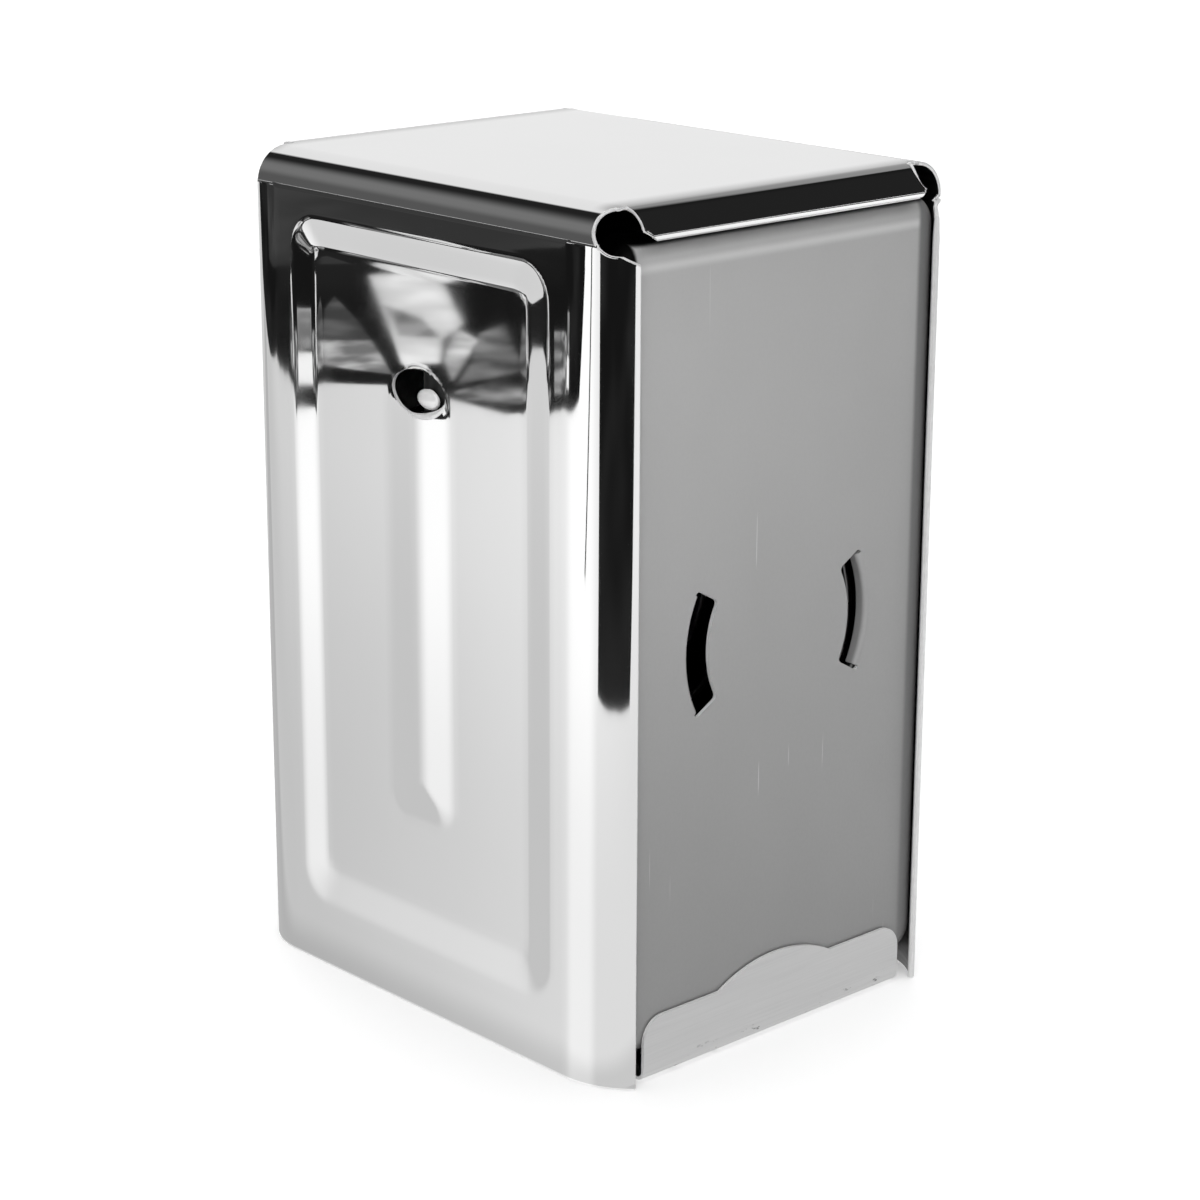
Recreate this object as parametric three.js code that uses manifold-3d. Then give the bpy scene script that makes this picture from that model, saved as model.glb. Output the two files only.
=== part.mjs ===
// Two-ended tall-fold napkin dispenser: a pressed sheet cover, a base pan with end lips, a centre
// divider, and at each end a sprung follower plate that is pushed in to load the napkins.
// Millimetres, +Z up. X runs through the two open ends, Y across the two broad sides, and the origin
// is on the table under the middle of the case.

import * as THREE from 'three';
import { mergeVertices } from 'three/addons/utils/BufferGeometryUtils.js';
import Module from 'manifold-3d';

// Overall sizes of the case
const HEIGHT = 190;
const LENGTH = 126;
const DEPTH = 102.4;
const SHEET = 0.8;

// Cover: bends of the wrapped sheet
const TOP_BEND_R = 8;
const FLANGE_R = 20;
const FLANGE_TURN = THREE.MathUtils.degToRad(48.5);
const FLANGE_SETBACK = 0.2;
const LIP_BEND_R = 7;
const LIP_TURN = THREE.MathUtils.degToRad(75);
const LIP_CURL_R = 1.5;
const LIP_CURL_TURN = THREE.MathUtils.degToRad(80);

// Cover: round corner reliefs, and the oblique trims of lip and flange beside them
const RELIEF_R = 4.8;
const RELIEF_DROP = 3.8;
const RELIEF_RISE = 0.25;
const LIP_TRIM = 2.6;
const LIP_TRIM_SLOPE = 0.75;
const FLANGE_TRIM_DROP = 7.6;
const FLANGE_TRIM_SLOPE = 0.6;

// Cover: pressed panel of each broad side, its middle rib and the hole at the rib's head
const PANEL_MARGIN = 5.5;
const PANEL_FOOT = 15.8;
const PANEL_HEAD = 13.3;
const PANEL_R = 8;
const PANEL_DEPTH = 0.9;
const BEVEL_SIDE = 6.4;
const BEVEL_HEAD = 6;
const BEVEL_FOOT = 7.8;
const BEVEL_R = 3.5;
const RIB_WIDTH = 19.4;
const RIB_CREST = 3.2;
const RIB_FOOT = 46.5;
const RIB_RAISE = 0.9;
const HOLE_DROP = 46.5;
const HOLE_WIDTH = 17.8;
const HOLE_HEIGHT = 9.8;

// Base pan
const BASE_CLEAR = 0;
const BASE_BEND_R = 2.2;
const BASE_SETBACK = 1.7;
const BASE_SIDE_HEIGHT = 11;
const BASE_SIDE_SHORT = 1.6;
const BASE_LIP_WIDTH = 81;
const BASE_LIP_HEIGHT = 14.4;
const BASE_LIP_R = 5.7;
const HUMP_WIDTH = 35.2;
const HUMP_RISE = 4.5;

// Follower plates
const PLATE_GAP = 0.3;
const PLATE_REST_GAP = 0.3;
const PLATE_EDGE_R = 4;
const PLATE_CORNER_R = 7;
const PLATE_WALL = 9;
const PLATE_FOOT = 5.2;
const PLATE_HEAD = 5.9;

// Spring seats: lanced arcs, whose tongues stand inside the spring's end coil
const SEAT_Z = 93.1;
const SEAT_R = 27.3;
const SLOT_WIDTH = 5.8;
const SLOT_HALF_ANGLE = THREE.MathUtils.degToRad(29.6);

// Springs
const WIRE = 2;
const SPRING_FIT = 0.5;
const SPRING_END_GAP = 0.3;
const SPRING_TURNS = 6.5;
const CLOSED_TURNS = 1;
const CLOSED_GAP = 0.6;
const STEPS_PER_TURN = 20;
const WIRE_SIDES = 6;

// Centre divider
const FIT_GAP = 0.15;
const DIVIDER_HEAD = 20;
const DIVIDER_R = 10;
const DIVIDER_BEND_R = 1.6;
const DIVIDER_FLANGE = 8;
const DIVIDER_FOOT = 12;
const DOME_X = 3;
const DOME_DROP = 1.2;
const DOME_R = 2.3;
const DOME_HEIGHT = 1.2;

// Facets per bend, reach of a cutting solid past what it cuts, and of a joined form into its wall
const BEND_STEPS = 8;
const CORNER_STEPS = 5;
const ROUND_STEPS = 32;
const PAST = 5;
const ROOT = 1;

const wasm = await Module();
wasm.setup();

// Bases that lay a profile in the named plane and push it along the third axis
const AXIS_X = new THREE.Vector3(1, 0, 0);
const AXIS_Y = new THREE.Vector3(0, 1, 0);
const AXIS_Z = new THREE.Vector3(0, 0, 1);
const PLANE_XY = new THREE.Matrix4();
const PLANE_YZ = new THREE.Matrix4().makeBasis(AXIS_Y, AXIS_Z, AXIS_X);
const PLANE_ZX = new THREE.Matrix4().makeBasis(AXIS_Z, AXIS_X, AXIS_Y);
const HALF_TURN = new THREE.Matrix4().makeRotationZ(Math.PI);
const ACROSS = new THREE.Matrix4().makeScale(1, -1, 1);

/** A closed three.js geometry as a solid that can be joined and cut. */
function solid(geometry) {
  const bare = geometry.index ? geometry.toNonIndexed() : geometry.clone();
  bare.deleteAttribute('normal');
  bare.deleteAttribute('uv');
  const merged = mergeVertices(bare, 1e-4);
  const vertProperties = Float32Array.from(merged.attributes.position.array);
  const triVerts = Uint32Array.from(merged.index.array);
  return new wasm.Manifold(new wasm.Mesh({ numProp: 3, vertProperties, triVerts }));
}

/** A finished solid as a named mesh with its own material. */
function piece(name, body, color, roughness) {
  const result = body.getMesh();
  const geometry = new THREE.BufferGeometry();
  geometry.setAttribute('position', new THREE.Float32BufferAttribute(result.vertProperties, 3));
  geometry.setIndex(new THREE.Uint32BufferAttribute(result.triVerts, 1));
  geometry.computeVertexNormals();
  const material = new THREE.MeshStandardMaterial({ color, roughness, metalness: 1 });
  const mesh = new THREE.Mesh(geometry, material);
  mesh.name = name;
  return mesh;
}

/** Points on an arc, both ends included. */
function arc(u, v, radius, from, to, steps = BEND_STEPS) {
  return Array.from({ length: steps + 1 }, (_, i) => {
    const angle = from + ((to - from) * i) / steps;
    return new THREE.Vector2(u + radius * Math.cos(angle), v + radius * Math.sin(angle));
  });
}

const at = (u, v) => new THREE.Vector2(u, v);
const swapped = (points) => points.map((p) => at(p.y, p.x));
const mirrored = (points) => points.map((p) => at(-p.x, p.y)).reverse();

/** A closed profile pushed from one station to another along the plane's third axis. */
function prism(points, plane, from, to) {
  const options = { depth: to - from, bevelEnabled: false };
  const geometry = new THREE.ExtrudeGeometry(new THREE.Shape(points), options);
  geometry.translate(0, 0, from);
  geometry.applyMatrix4(plane);
  return solid(geometry);
}

/** A solid skinned over matching rings that run either way, with a flat cap on the first and the last. */
function loft(rings) {
  const count = rings[0].length;
  const points = rings.flat();
  const index = [];
  for (let r = 0; r < rings.length - 1; r += 1) {
    for (let i = 0; i < count; i += 1) {
      const a = r * count + i;
      const b = r * count + ((i + 1) % count);
      index.push(a, b, b + count, a, b + count, a + count);
    }
  }
  const last = (rings.length - 1) * count;
  for (let i = 1; i < count - 1; i += 1) {
    index.push(0, i + 1, i);
    index.push(last, last + i, last + i + 1);
  }
  let volume = 0;
  for (let i = 0; i < index.length; i += 3) {
    const [a, b, c] = [points[index[i]], points[index[i + 1]], points[index[i + 2]]];
    volume += a.dot(b.clone().cross(c));
  }
  const geometry = new THREE.BufferGeometry().setFromPoints(points);
  geometry.setIndex(volume > 0 ? index : index.reverse());
  return solid(geometry);
}

/** Outline of a rectangle with round corners, counter-clockwise from its right side. */
function roundedRect(halfWidth, low, high, radius) {
  const quarter = Math.PI / 2;
  return [
    ...arc(halfWidth - radius, high - radius, radius, 0, quarter, CORNER_STEPS),
    ...arc(radius - halfWidth, high - radius, radius, quarter, 2 * quarter, CORNER_STEPS),
    ...arc(radius - halfWidth, low + radius, radius, 2 * quarter, 3 * quarter, CORNER_STEPS),
    ...arc(halfWidth - radius, low + radius, radius, 3 * quarter, 4 * quarter, CORNER_STEPS),
  ];
}

/** Outline of an ellipse. */
function oval(u, v, halfWidth, halfHeight) {
  return Array.from({ length: ROUND_STEPS }, (_, i) => {
    const angle = (2 * Math.PI * i) / ROUND_STEPS;
    return at(u + halfWidth * Math.cos(angle), v + halfHeight * Math.sin(angle));
  });
}

const join = (bodies) => bodies.reduce((whole, body) => whole.add(body));
const both = (body) => body.add(body.transform(HALF_TURN.elements));

// Cover

const halfLength = LENGTH / 2;
const halfDepth = DEPTH / 2;
const flangeEdgeX = halfLength - FLANGE_SETBACK;
const flangeStart = flangeEdgeX - FLANGE_R * Math.sin(FLANGE_TURN);
const holeZ = HEIGHT - HOLE_DROP;
const lipStart = halfLength - LIP_CURL_R - (LIP_BEND_R - LIP_CURL_R) * Math.sin(LIP_TURN);
const flatHalf = halfDepth - TOP_BEND_R;

/** Plan of the flange that the near side turns into at +X, at an inset from its outside. */
function flangeArc(inset) {
  const from = -Math.PI / 2;
  return arc(flangeStart, FLANGE_R - halfDepth, FLANGE_R - inset, from, from + FLANGE_TURN);
}

/** A plan made whole from its quarter at +X, -Y. */
function fourQuarters(near) {
  const right = [...near, ...near.map((p) => at(p.x, -p.y)).reverse()];
  return [...right, ...right.map((p) => at(-p.x, -p.y))];
}

/** Plan of the room inside the sheet, with both mouths open square to the flanges' edges. */
function innerPlan() {
  const near = flangeArc(SHEET);
  const edge = near[near.length - 1];
  const reach = SHEET + PAST;
  const out = at(edge.x + reach * Math.sin(FLANGE_TURN), edge.y - reach * Math.cos(FLANGE_TURN));
  near.push(out, at(out.x + PAST, out.y));
  return fourQuarters(near);
}

/** Arch of top and broad sides across the case, at an inset from its outside. */
function archProfile(inset, low) {
  const bend = arc(flatHalf, HEIGHT - TOP_BEND_R, TOP_BEND_R - inset, 0, Math.PI / 2);
  const right = [at(halfDepth - inset, low), ...bend];
  return [...right, ...mirrored(right)];
}

/** Rings of an outline in the XZ plane, at chosen depths behind the near broad side's face. */
function sideRing(outline, depth) {
  return outline.map((p) => new THREE.Vector3(p.x, depth - halfDepth, p.y));
}

/** Presses panel and rib into the near broad side of a solid, at an inset from its outside. */
function pressSide(body, inset) {
  const panelHalf = flangeStart - PANEL_MARGIN;
  const panelTop = HEIGHT - PANEL_HEAD;
  const mouth = roundedRect(panelHalf, PANEL_FOOT, panelTop, PANEL_R);
  const floorLow = PANEL_FOOT + BEVEL_FOOT;
  const floor = roundedRect(panelHalf - BEVEL_SIDE, floorLow, panelTop - BEVEL_HEAD, BEVEL_R);
  const recess = loft([
    sideRing(mouth, inset - ROOT),
    sideRing(mouth, inset),
    sideRing(floor, inset + PANEL_DEPTH),
  ]);

  const ribHalf = RIB_WIDTH / 2;
  const crestHalf = RIB_CREST / 2;
  const ribOutline = (half) => [
    ...arc(0, holeZ, half, 0, Math.PI),
    ...arc(0, RIB_FOOT + ribHalf, half, Math.PI, 2 * Math.PI),
  ];
  const rib = loft([
    sideRing(ribOutline(crestHalf), inset + PANEL_DEPTH - RIB_RAISE),
    sideRing(ribOutline(ribHalf), inset + PANEL_DEPTH),
    sideRing(ribOutline(ribHalf), inset + PANEL_DEPTH + ROOT),
  ]);

  return body.subtract(recess).add(rib);
}

/** The case's full outside, or the room inside its sheet, with both broad sides pressed. */
function pressedBlock(plan, inset, low) {
  const column = prism(plan, PLANE_XY, low, HEIGHT + PAST);
  const arch = prism(archProfile(inset, low), PLANE_YZ, -LENGTH, LENGTH);
  const near = pressSide(column.intersect(arch), inset);
  return pressSide(near.transform(HALF_TURN.elements), inset);
}

/** End lip over the +X mouth: the top sheet rolled down, with its lower edge curled in. */
function lipProfile() {
  const centre = at(lipStart, HEIGHT - LIP_BEND_R);
  const normal = at(Math.sin(LIP_TURN), Math.cos(LIP_TURN));
  const step = LIP_BEND_R - LIP_CURL_R;
  const curl = at(centre.x + step * normal.x, centre.y + step * normal.y);
  const start = Math.PI / 2;
  const end = start - LIP_TURN;
  const tip = end - LIP_CURL_TURN;
  const side = (inset) => [
    at(lipStart - PAST, HEIGHT - inset),
    ...arc(centre.x, centre.y, LIP_BEND_R - inset, start, end),
    ...arc(curl.x, curl.y, LIP_CURL_R - inset, end, tip).slice(1),
  ];
  return [...side(0), ...side(SHEET).reverse()];
}

/** A cutting solid of the corner at +X, -Y on all four corners. */
function fourCorners(body) {
  return both(body.add(body.transform(ACROSS.elements)));
}

function makeCover() {
  const block = pressedBlock(fourQuarters(flangeArc(0)), 0, 0);
  const topEnd = [
    at(HEIGHT - TOP_BEND_R, lipStart),
    at(HEIGHT + 2 * PAST, lipStart),
    at(HEIGHT + 2 * PAST, LENGTH),
    at(HEIGHT - TOP_BEND_R, LENGTH),
  ];
  const topCut = both(prism(topEnd, PLANE_ZX, -DEPTH, DEPTH));
  const shell = block.subtract(topCut).subtract(pressedBlock(innerPlan(), SHEET, -PAST));
  const lips = both(prism(swapped(lipProfile()), PLANE_ZX, -flatHalf, flatHalf));

  const relief = new THREE.CylinderGeometry(RELIEF_R, RELIEF_R, 8 * RELIEF_R, ROUND_STEPS);
  const reliefAxis = new THREE.Vector3(1, -1, RELIEF_RISE).normalize();
  relief.applyQuaternion(new THREE.Quaternion().setFromUnitVectors(AXIS_Y, reliefAxis));
  relief.translate(halfLength, -halfDepth, HEIGHT - RELIEF_DROP);

  const lipLow = HEIGHT - LIP_BEND_R - LIP_CURL_R;
  const lipHigh = HEIGHT - RELIEF_DROP + RELIEF_R;
  const lipEnd = flatHalf - LIP_TRIM;
  const lipTrim = [
    at(-lipEnd, lipLow),
    at(-lipEnd - LIP_TRIM_SLOPE * (lipHigh - lipLow), lipHigh),
    at(-DEPTH, lipHigh),
    at(-DEPTH, lipLow),
  ];

  const trimLow = HEIGHT - RELIEF_DROP - FLANGE_TRIM_DROP;
  const flangeTrim = [
    at(trimLow - FLANGE_TRIM_SLOPE * PAST, flangeEdgeX + PAST),
    at(lipLow, flangeEdgeX + PAST),
    at(lipLow, flangeEdgeX - (lipLow - trimLow) / FLANGE_TRIM_SLOPE),
  ];
  const cornerCuts = [
    solid(relief),
    prism(lipTrim, PLANE_YZ, lipStart, LENGTH),
    prism(flangeTrim, PLANE_ZX, -halfDepth - PAST, TOP_BEND_R / 2 - flatHalf),
  ];

  const hole = oval(holeZ, 0, HOLE_HEIGHT / 2, HOLE_WIDTH / 2);
  const holes = prism(hole, PLANE_ZX, -DEPTH, DEPTH);
  return join([shell, lips]).subtract(fourCorners(join(cornerCuts))).subtract(holes);
}

// Base pan

const baseTop = BASE_CLEAR + SHEET;
const baseLipX = halfLength - BASE_SETBACK;
const baseSideHalf = halfDepth - SHEET - FIT_GAP;

/** A sheet bent up at both ends, as a closed profile: half its length, its height and its outer bend. */
function trayProfile(half, height, bend, low) {
  const side = (inset) => [
    ...arc(half - bend, low + bend, bend - inset, -Math.PI / 2, 0),
    at(half - inset, low + height),
  ];
  const outer = side(0);
  const inner = side(SHEET);
  return [...mirrored(outer), ...outer, ...inner.reverse(), ...mirrored(inner)];
}

function makeBase() {
  const sideEnd = flangeStart - BASE_SIDE_SHORT;
  const sideProfile = trayProfile(baseSideHalf, BASE_SIDE_HEIGHT, BASE_BEND_R, BASE_CLEAR);
  const sides = prism(sideProfile, PLANE_YZ, -sideEnd, sideEnd);

  const lipHalf = BASE_LIP_WIDTH / 2;
  const lipTop = BASE_CLEAR + BASE_LIP_HEIGHT;
  const humpHalf = HUMP_WIDTH / 2;
  const humpR = (humpHalf ** 2 + HUMP_RISE ** 2) / (2 * HUMP_RISE);
  const humpTurn = Math.asin(humpHalf / humpR);
  const outline = [
    at(lipHalf, BASE_CLEAR - PAST),
    ...arc(lipHalf - BASE_LIP_R, lipTop - BASE_LIP_R, BASE_LIP_R, 0, Math.PI / 2),
    ...arc(0, lipTop + HUMP_RISE - humpR, humpR, Math.PI / 2 - humpTurn, Math.PI / 2),
  ];
  const lipOutline = [...outline, ...mirrored(outline).slice(1)];
  const tray = trayProfile(baseLipX, BASE_LIP_HEIGHT + HUMP_RISE + PAST, BASE_BEND_R, BASE_CLEAR);
  const ends = prism(swapped(tray), PLANE_ZX, -lipHalf, lipHalf);
  const cut = prism(lipOutline, PLANE_YZ, -LENGTH, LENGTH);
  return sides.add(ends.intersect(cut));
}

// Spring seats

/** Sector of a ring round the spring's axis, in the YZ plane, about the +Y side. */
function sector(inner, outer) {
  return [
    ...arc(0, SEAT_Z, outer, -SLOT_HALF_ANGLE, SLOT_HALF_ANGLE),
    ...arc(0, SEAT_Z, inner, SLOT_HALF_ANGLE, -SLOT_HALF_ANGLE),
  ];
}

/** Lances a pair of arcs out of a sheet and turns their tongues off one of its faces. */
function lanceSeat(body, sheetLow, direction, turn) {
  const place = new THREE.Matrix4().makeTranslation(sheetLow, 0, SEAT_Z);
  place.multiply(new THREE.Matrix4().makeRotationX(turn));
  place.multiply(new THREE.Matrix4().makeTranslation(0, 0, -SEAT_Z));
  const pair = (profile, from, to) => {
    const one = prism(profile, PLANE_YZ, from, to);
    return one.add(one.transform(ACROSS.elements)).transform(place.elements);
  };
  const slots = pair(sector(SEAT_R - SLOT_WIDTH, SEAT_R), -PAST, PAST);
  const low = direction > 0 ? 0 : -SLOT_WIDTH;
  const tongues = pair(sector(SEAT_R, SEAT_R + SHEET), low, low + SLOT_WIDTH + SHEET);
  return body.subtract(slots).add(tongues);
}

// Follower plates

const plateFront = baseLipX - SHEET - PLATE_GAP;
const plateBack = plateFront - SHEET;
const plateLow = baseTop + PLATE_FOOT;
const plateHigh = HEIGHT - SHEET - PLATE_HEAD;

/** Half the plate's width, where its rounded edge comes to rest inside the cover's flange. */
function plateHalfWidth() {
  const reach = FLANGE_R - SHEET - PLATE_EDGE_R - PLATE_REST_GAP;
  const along = plateFront - PLATE_EDGE_R - flangeStart;
  const across = Math.sqrt(reach ** 2 - along ** 2);
  return halfDepth - FLANGE_R + across + PLATE_EDGE_R;
}

/** The plate's outside, or the room inside its pan, rounded over at the front edge. */
function plateBlock(inset, back) {
  const half = plateHalfWidth();
  const ring = (x, shrink) =>
    roundedRect(half - shrink, plateLow + shrink, plateHigh - shrink, PLATE_CORNER_R - shrink).map(
      (p) => new THREE.Vector3(x, p.x, p.y),
    );
  const rings = [ring(back, inset)];
  for (let i = 0; i <= BEND_STEPS; i += 1) {
    const angle = (i / BEND_STEPS) * (Math.PI / 2);
    const radius = PLATE_EDGE_R - inset;
    const x = plateFront - PLATE_EDGE_R + radius * Math.sin(angle);
    rings.push(ring(x, PLATE_EDGE_R - radius * Math.cos(angle)));
  }
  return loft(rings);
}

function makePlate() {
  const back = plateFront - PLATE_WALL;
  const pan = plateBlock(0, back).subtract(plateBlock(SHEET, back - PAST));
  return lanceSeat(pan, plateBack, -1, 0);
}

// Centre divider

const webHigh = SHEET / 2;
const webLow = -webHigh;
const dividerHalf = Math.min(halfDepth - PANEL_DEPTH, baseSideHalf) - SHEET - FIT_GAP;

/** Hollow dome pressed out of the near side flange into the hole of the broad side. */
function domeSolid(radius, height, base) {
  const sphere = (radius ** 2 + height ** 2) / (2 * height);
  const turn = Math.asin(radius / sphere);
  const rim = arc(0, height - sphere, sphere, Math.PI / 2 - turn, Math.PI / 2, CORNER_STEPS);
  const profile = [at(0, base), at(radius, base), ...rim];
  profile[profile.length - 1].x = 0;
  const geometry = new THREE.LatheGeometry(profile, ROUND_STEPS / 2);
  geometry.rotateZ(Math.PI);
  geometry.translate(DOME_X, -dividerHalf, holeZ - DOME_DROP);
  return solid(geometry);
}

/** The divider's web with its side flanges turned to +X, above the bend of its foot. */
function dividerWall(low, top) {
  const bendY = DIVIDER_BEND_R - dividerHalf;
  const flange = (inset) => [
    at(webLow + inset, 0),
    ...arc(webLow + DIVIDER_BEND_R, bendY, DIVIDER_BEND_R - inset, Math.PI, 1.5 * Math.PI),
    at(webLow + DIVIDER_FLANGE, inset - dividerHalf),
  ];
  const near = prism([...flange(0), ...flange(SHEET).reverse()], PLANE_XY, low, top);
  const outline = roundedRect(dividerHalf, low - DIVIDER_R, top, DIVIDER_R);
  return near.add(near.transform(ACROSS.elements)).intersect(prism(outline, PLANE_YZ, -LENGTH, LENGTH));
}

function makeDivider() {
  const footLow = baseTop + FIT_GAP;
  const footBend = footLow + DIVIDER_BEND_R;
  const wall = dividerWall(footBend, HEIGHT - SHEET - DIVIDER_HEAD);

  const footHalf = dividerHalf - DIVIDER_R;
  const foot = (inset) => [
    at(webHigh - inset, footBend + ROOT),
    ...arc(webHigh - DIVIDER_BEND_R, footBend, DIVIDER_BEND_R - inset, 0, -Math.PI / 2),
    at(webHigh - DIVIDER_FOOT, footLow + inset),
  ];
  const footProfile = swapped([...foot(0), ...foot(SHEET).reverse()]);
  const footed = wall.add(prism(footProfile, PLANE_ZX, -footHalf, footHalf));

  const domeOut = domeSolid(DOME_R, DOME_HEIGHT, -SHEET / 2);
  const domeIn = domeSolid(DOME_R - SHEET / 2, DOME_HEIGHT - SHEET, -SHEET - ROOT);
  const [domes, hollows] = [domeOut, domeIn].map((dome) => dome.add(dome.transform(ACROSS.elements)));
  const pressed = footed.add(domes).subtract(hollows);
  return lanceSeat(lanceSeat(pressed, webLow, 1, 0), webLow, -1, Math.PI / 2);
}

// Springs

const coilR = SEAT_R + SHEET + SPRING_FIT + WIRE / 2;

/** Centre line of a spring with closed ends between two stations on X, by turns from the first. */
function coilPoint(turns, from, to) {
  const openTurns = SPRING_TURNS - 2 * CLOSED_TURNS;
  const closedPitch = WIRE + CLOSED_GAP;
  const openPitch = (Math.abs(to - from) - 2 * CLOSED_TURNS * closedPitch) / openTurns;
  const opened = THREE.MathUtils.clamp(turns - CLOSED_TURNS, 0, openTurns);
  const x = from + Math.sign(to - from) * ((turns - opened) * closedPitch + opened * openPitch);
  const angle = 2 * Math.PI * turns;
  return new THREE.Vector3(x, coilR * Math.sin(angle), SEAT_Z + coilR * Math.cos(angle));
}

/** One unbroken wire swept along the coil, with flat cut ends. */
function makeSpring(name, from, to) {
  const steps = Math.round(SPRING_TURNS * STEPS_PER_TURN);
  const centres = [];
  for (let i = 0; i <= steps; i += 1) {
    centres.push(coilPoint((SPRING_TURNS * i) / steps, from, to));
  }
  let least = Infinity;
  for (let i = 0; i < centres.length; i += 1) {
    for (let j = i + Math.ceil(STEPS_PER_TURN / 2); j < centres.length; j += 1) {
      least = Math.min(least, centres[i].distanceTo(centres[j]) - WIRE);
    }
  }
  console.log(`${name}: least gap between turns ${least.toFixed(2)} mm`);

  const rings = centres.map((centre) => {
    const radial = new THREE.Vector3(0, centre.y, centre.z - SEAT_Z).normalize();
    return Array.from({ length: WIRE_SIDES }, (_, k) => {
      const angle = (2 * Math.PI * k) / WIRE_SIDES;
      const offset = radial.clone().multiplyScalar(Math.cos(angle) * (WIRE / 2));
      return centre.clone().add(offset).addScaledVector(AXIS_X, Math.sin(angle) * (WIRE / 2));
    });
  });
  return loft(rings);
}

// Assembly

const CHROME = 0xd4d6d8;
const SATIN = 0xa6a7a9;
const STEEL = 0x8b8d90;

const plate = makePlate();
const rearPlate = plate.transform(HALF_TURN.elements);
const seatInset = SPRING_END_GAP + WIRE / 2;
const frontSpring = makeSpring('front_spring', webHigh + seatInset, plateBack - seatInset);
const rearSpring = makeSpring('rear_spring', webLow - seatInset, seatInset - plateBack);

const model = new THREE.Group();
model.name = 'napkin_dispenser';
model.add(piece('cover', makeCover(), CHROME, 0.08));
model.add(piece('base', makeBase(), SATIN, 0.35));
model.add(piece('center_divider', makeDivider(), STEEL, 0.4));
model.add(piece('front_plate', plate, SATIN, 0.42));
model.add(piece('rear_plate', rearPlate, SATIN, 0.42));
model.add(piece('front_spring', frontSpring, STEEL, 0.35));
model.add(piece('rear_spring', rearSpring, STEEL, 0.35));

export default model;
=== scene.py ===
import math

import bmesh
import bpy
import numpy as np
from mathutils import Matrix, Vector


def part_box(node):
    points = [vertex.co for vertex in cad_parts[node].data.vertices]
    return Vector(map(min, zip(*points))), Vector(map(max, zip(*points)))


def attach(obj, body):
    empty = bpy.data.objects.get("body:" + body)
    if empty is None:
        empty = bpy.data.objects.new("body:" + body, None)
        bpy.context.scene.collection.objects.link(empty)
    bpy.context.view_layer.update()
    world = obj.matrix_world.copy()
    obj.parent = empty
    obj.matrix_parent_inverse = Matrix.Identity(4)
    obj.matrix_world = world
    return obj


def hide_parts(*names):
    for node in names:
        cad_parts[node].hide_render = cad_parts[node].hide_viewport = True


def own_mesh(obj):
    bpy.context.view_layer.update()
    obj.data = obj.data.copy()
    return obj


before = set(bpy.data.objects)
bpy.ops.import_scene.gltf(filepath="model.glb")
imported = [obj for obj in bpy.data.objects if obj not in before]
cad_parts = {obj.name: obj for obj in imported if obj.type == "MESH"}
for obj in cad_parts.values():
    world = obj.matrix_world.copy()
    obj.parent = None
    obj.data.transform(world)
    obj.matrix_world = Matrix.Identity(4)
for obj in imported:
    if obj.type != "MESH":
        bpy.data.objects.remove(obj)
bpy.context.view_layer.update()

bl_info = {
    "name": "Napkin dispenser",
    "version": (1, 0, 0),
    "blender": (4, 5, 0),
    "location": "View3D > Sidebar > Napkin dispenser",
    "description": "Builds an upright chromed napkin dispenser with a sprung follower plate at each end",
    "category": "Object",
}

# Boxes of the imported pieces, which the dressed pieces fill
COVER_LOW, COVER_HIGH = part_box("cover")
BASE_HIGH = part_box("base")[1]
PLATE_LOW, PLATE_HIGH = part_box("front_plate")
SPRING_LOW, SPRING_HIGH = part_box("front_spring")

MM = 0.001
QUARTER = math.pi / 2
HALF_TURN = Matrix.Rotation(math.pi, 4, "Z")
WELD = 1e-6
SMOOTH_ANGLE = math.radians(35)
GRAIN_DEPTH = 0.02 * MM
GRAIN_STRENGTH = 0.2


# Settings

def size(label, text, millimetres):
    """A length that a user can change, given in millimetres."""
    return bpy.props.FloatProperty(
        name=label, description=text, default=millimetres * MM, unit="LENGTH", precision=5
    )


def angle(label, text, degrees):
    """An angle that a user can change, given in degrees."""
    return bpy.props.FloatProperty(
        name=label, description=text, default=math.radians(degrees), subtype="ANGLE"
    )


def number(label, text, default, least=0):
    """A plain number that a user can change, with its least value."""
    return bpy.props.FloatProperty(name=label, description=text, default=default, min=least)


def share(label, text, default):
    """A plain number from 0 to 1."""
    return bpy.props.FloatProperty(name=label, description=text, default=default, min=0, max=1)


def tone(label, text, grey):
    """A neutral colour."""
    return bpy.props.FloatVectorProperty(
        name=label, description=text, default=(grey, grey, grey), subtype="COLOR", min=0, max=1
    )


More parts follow.
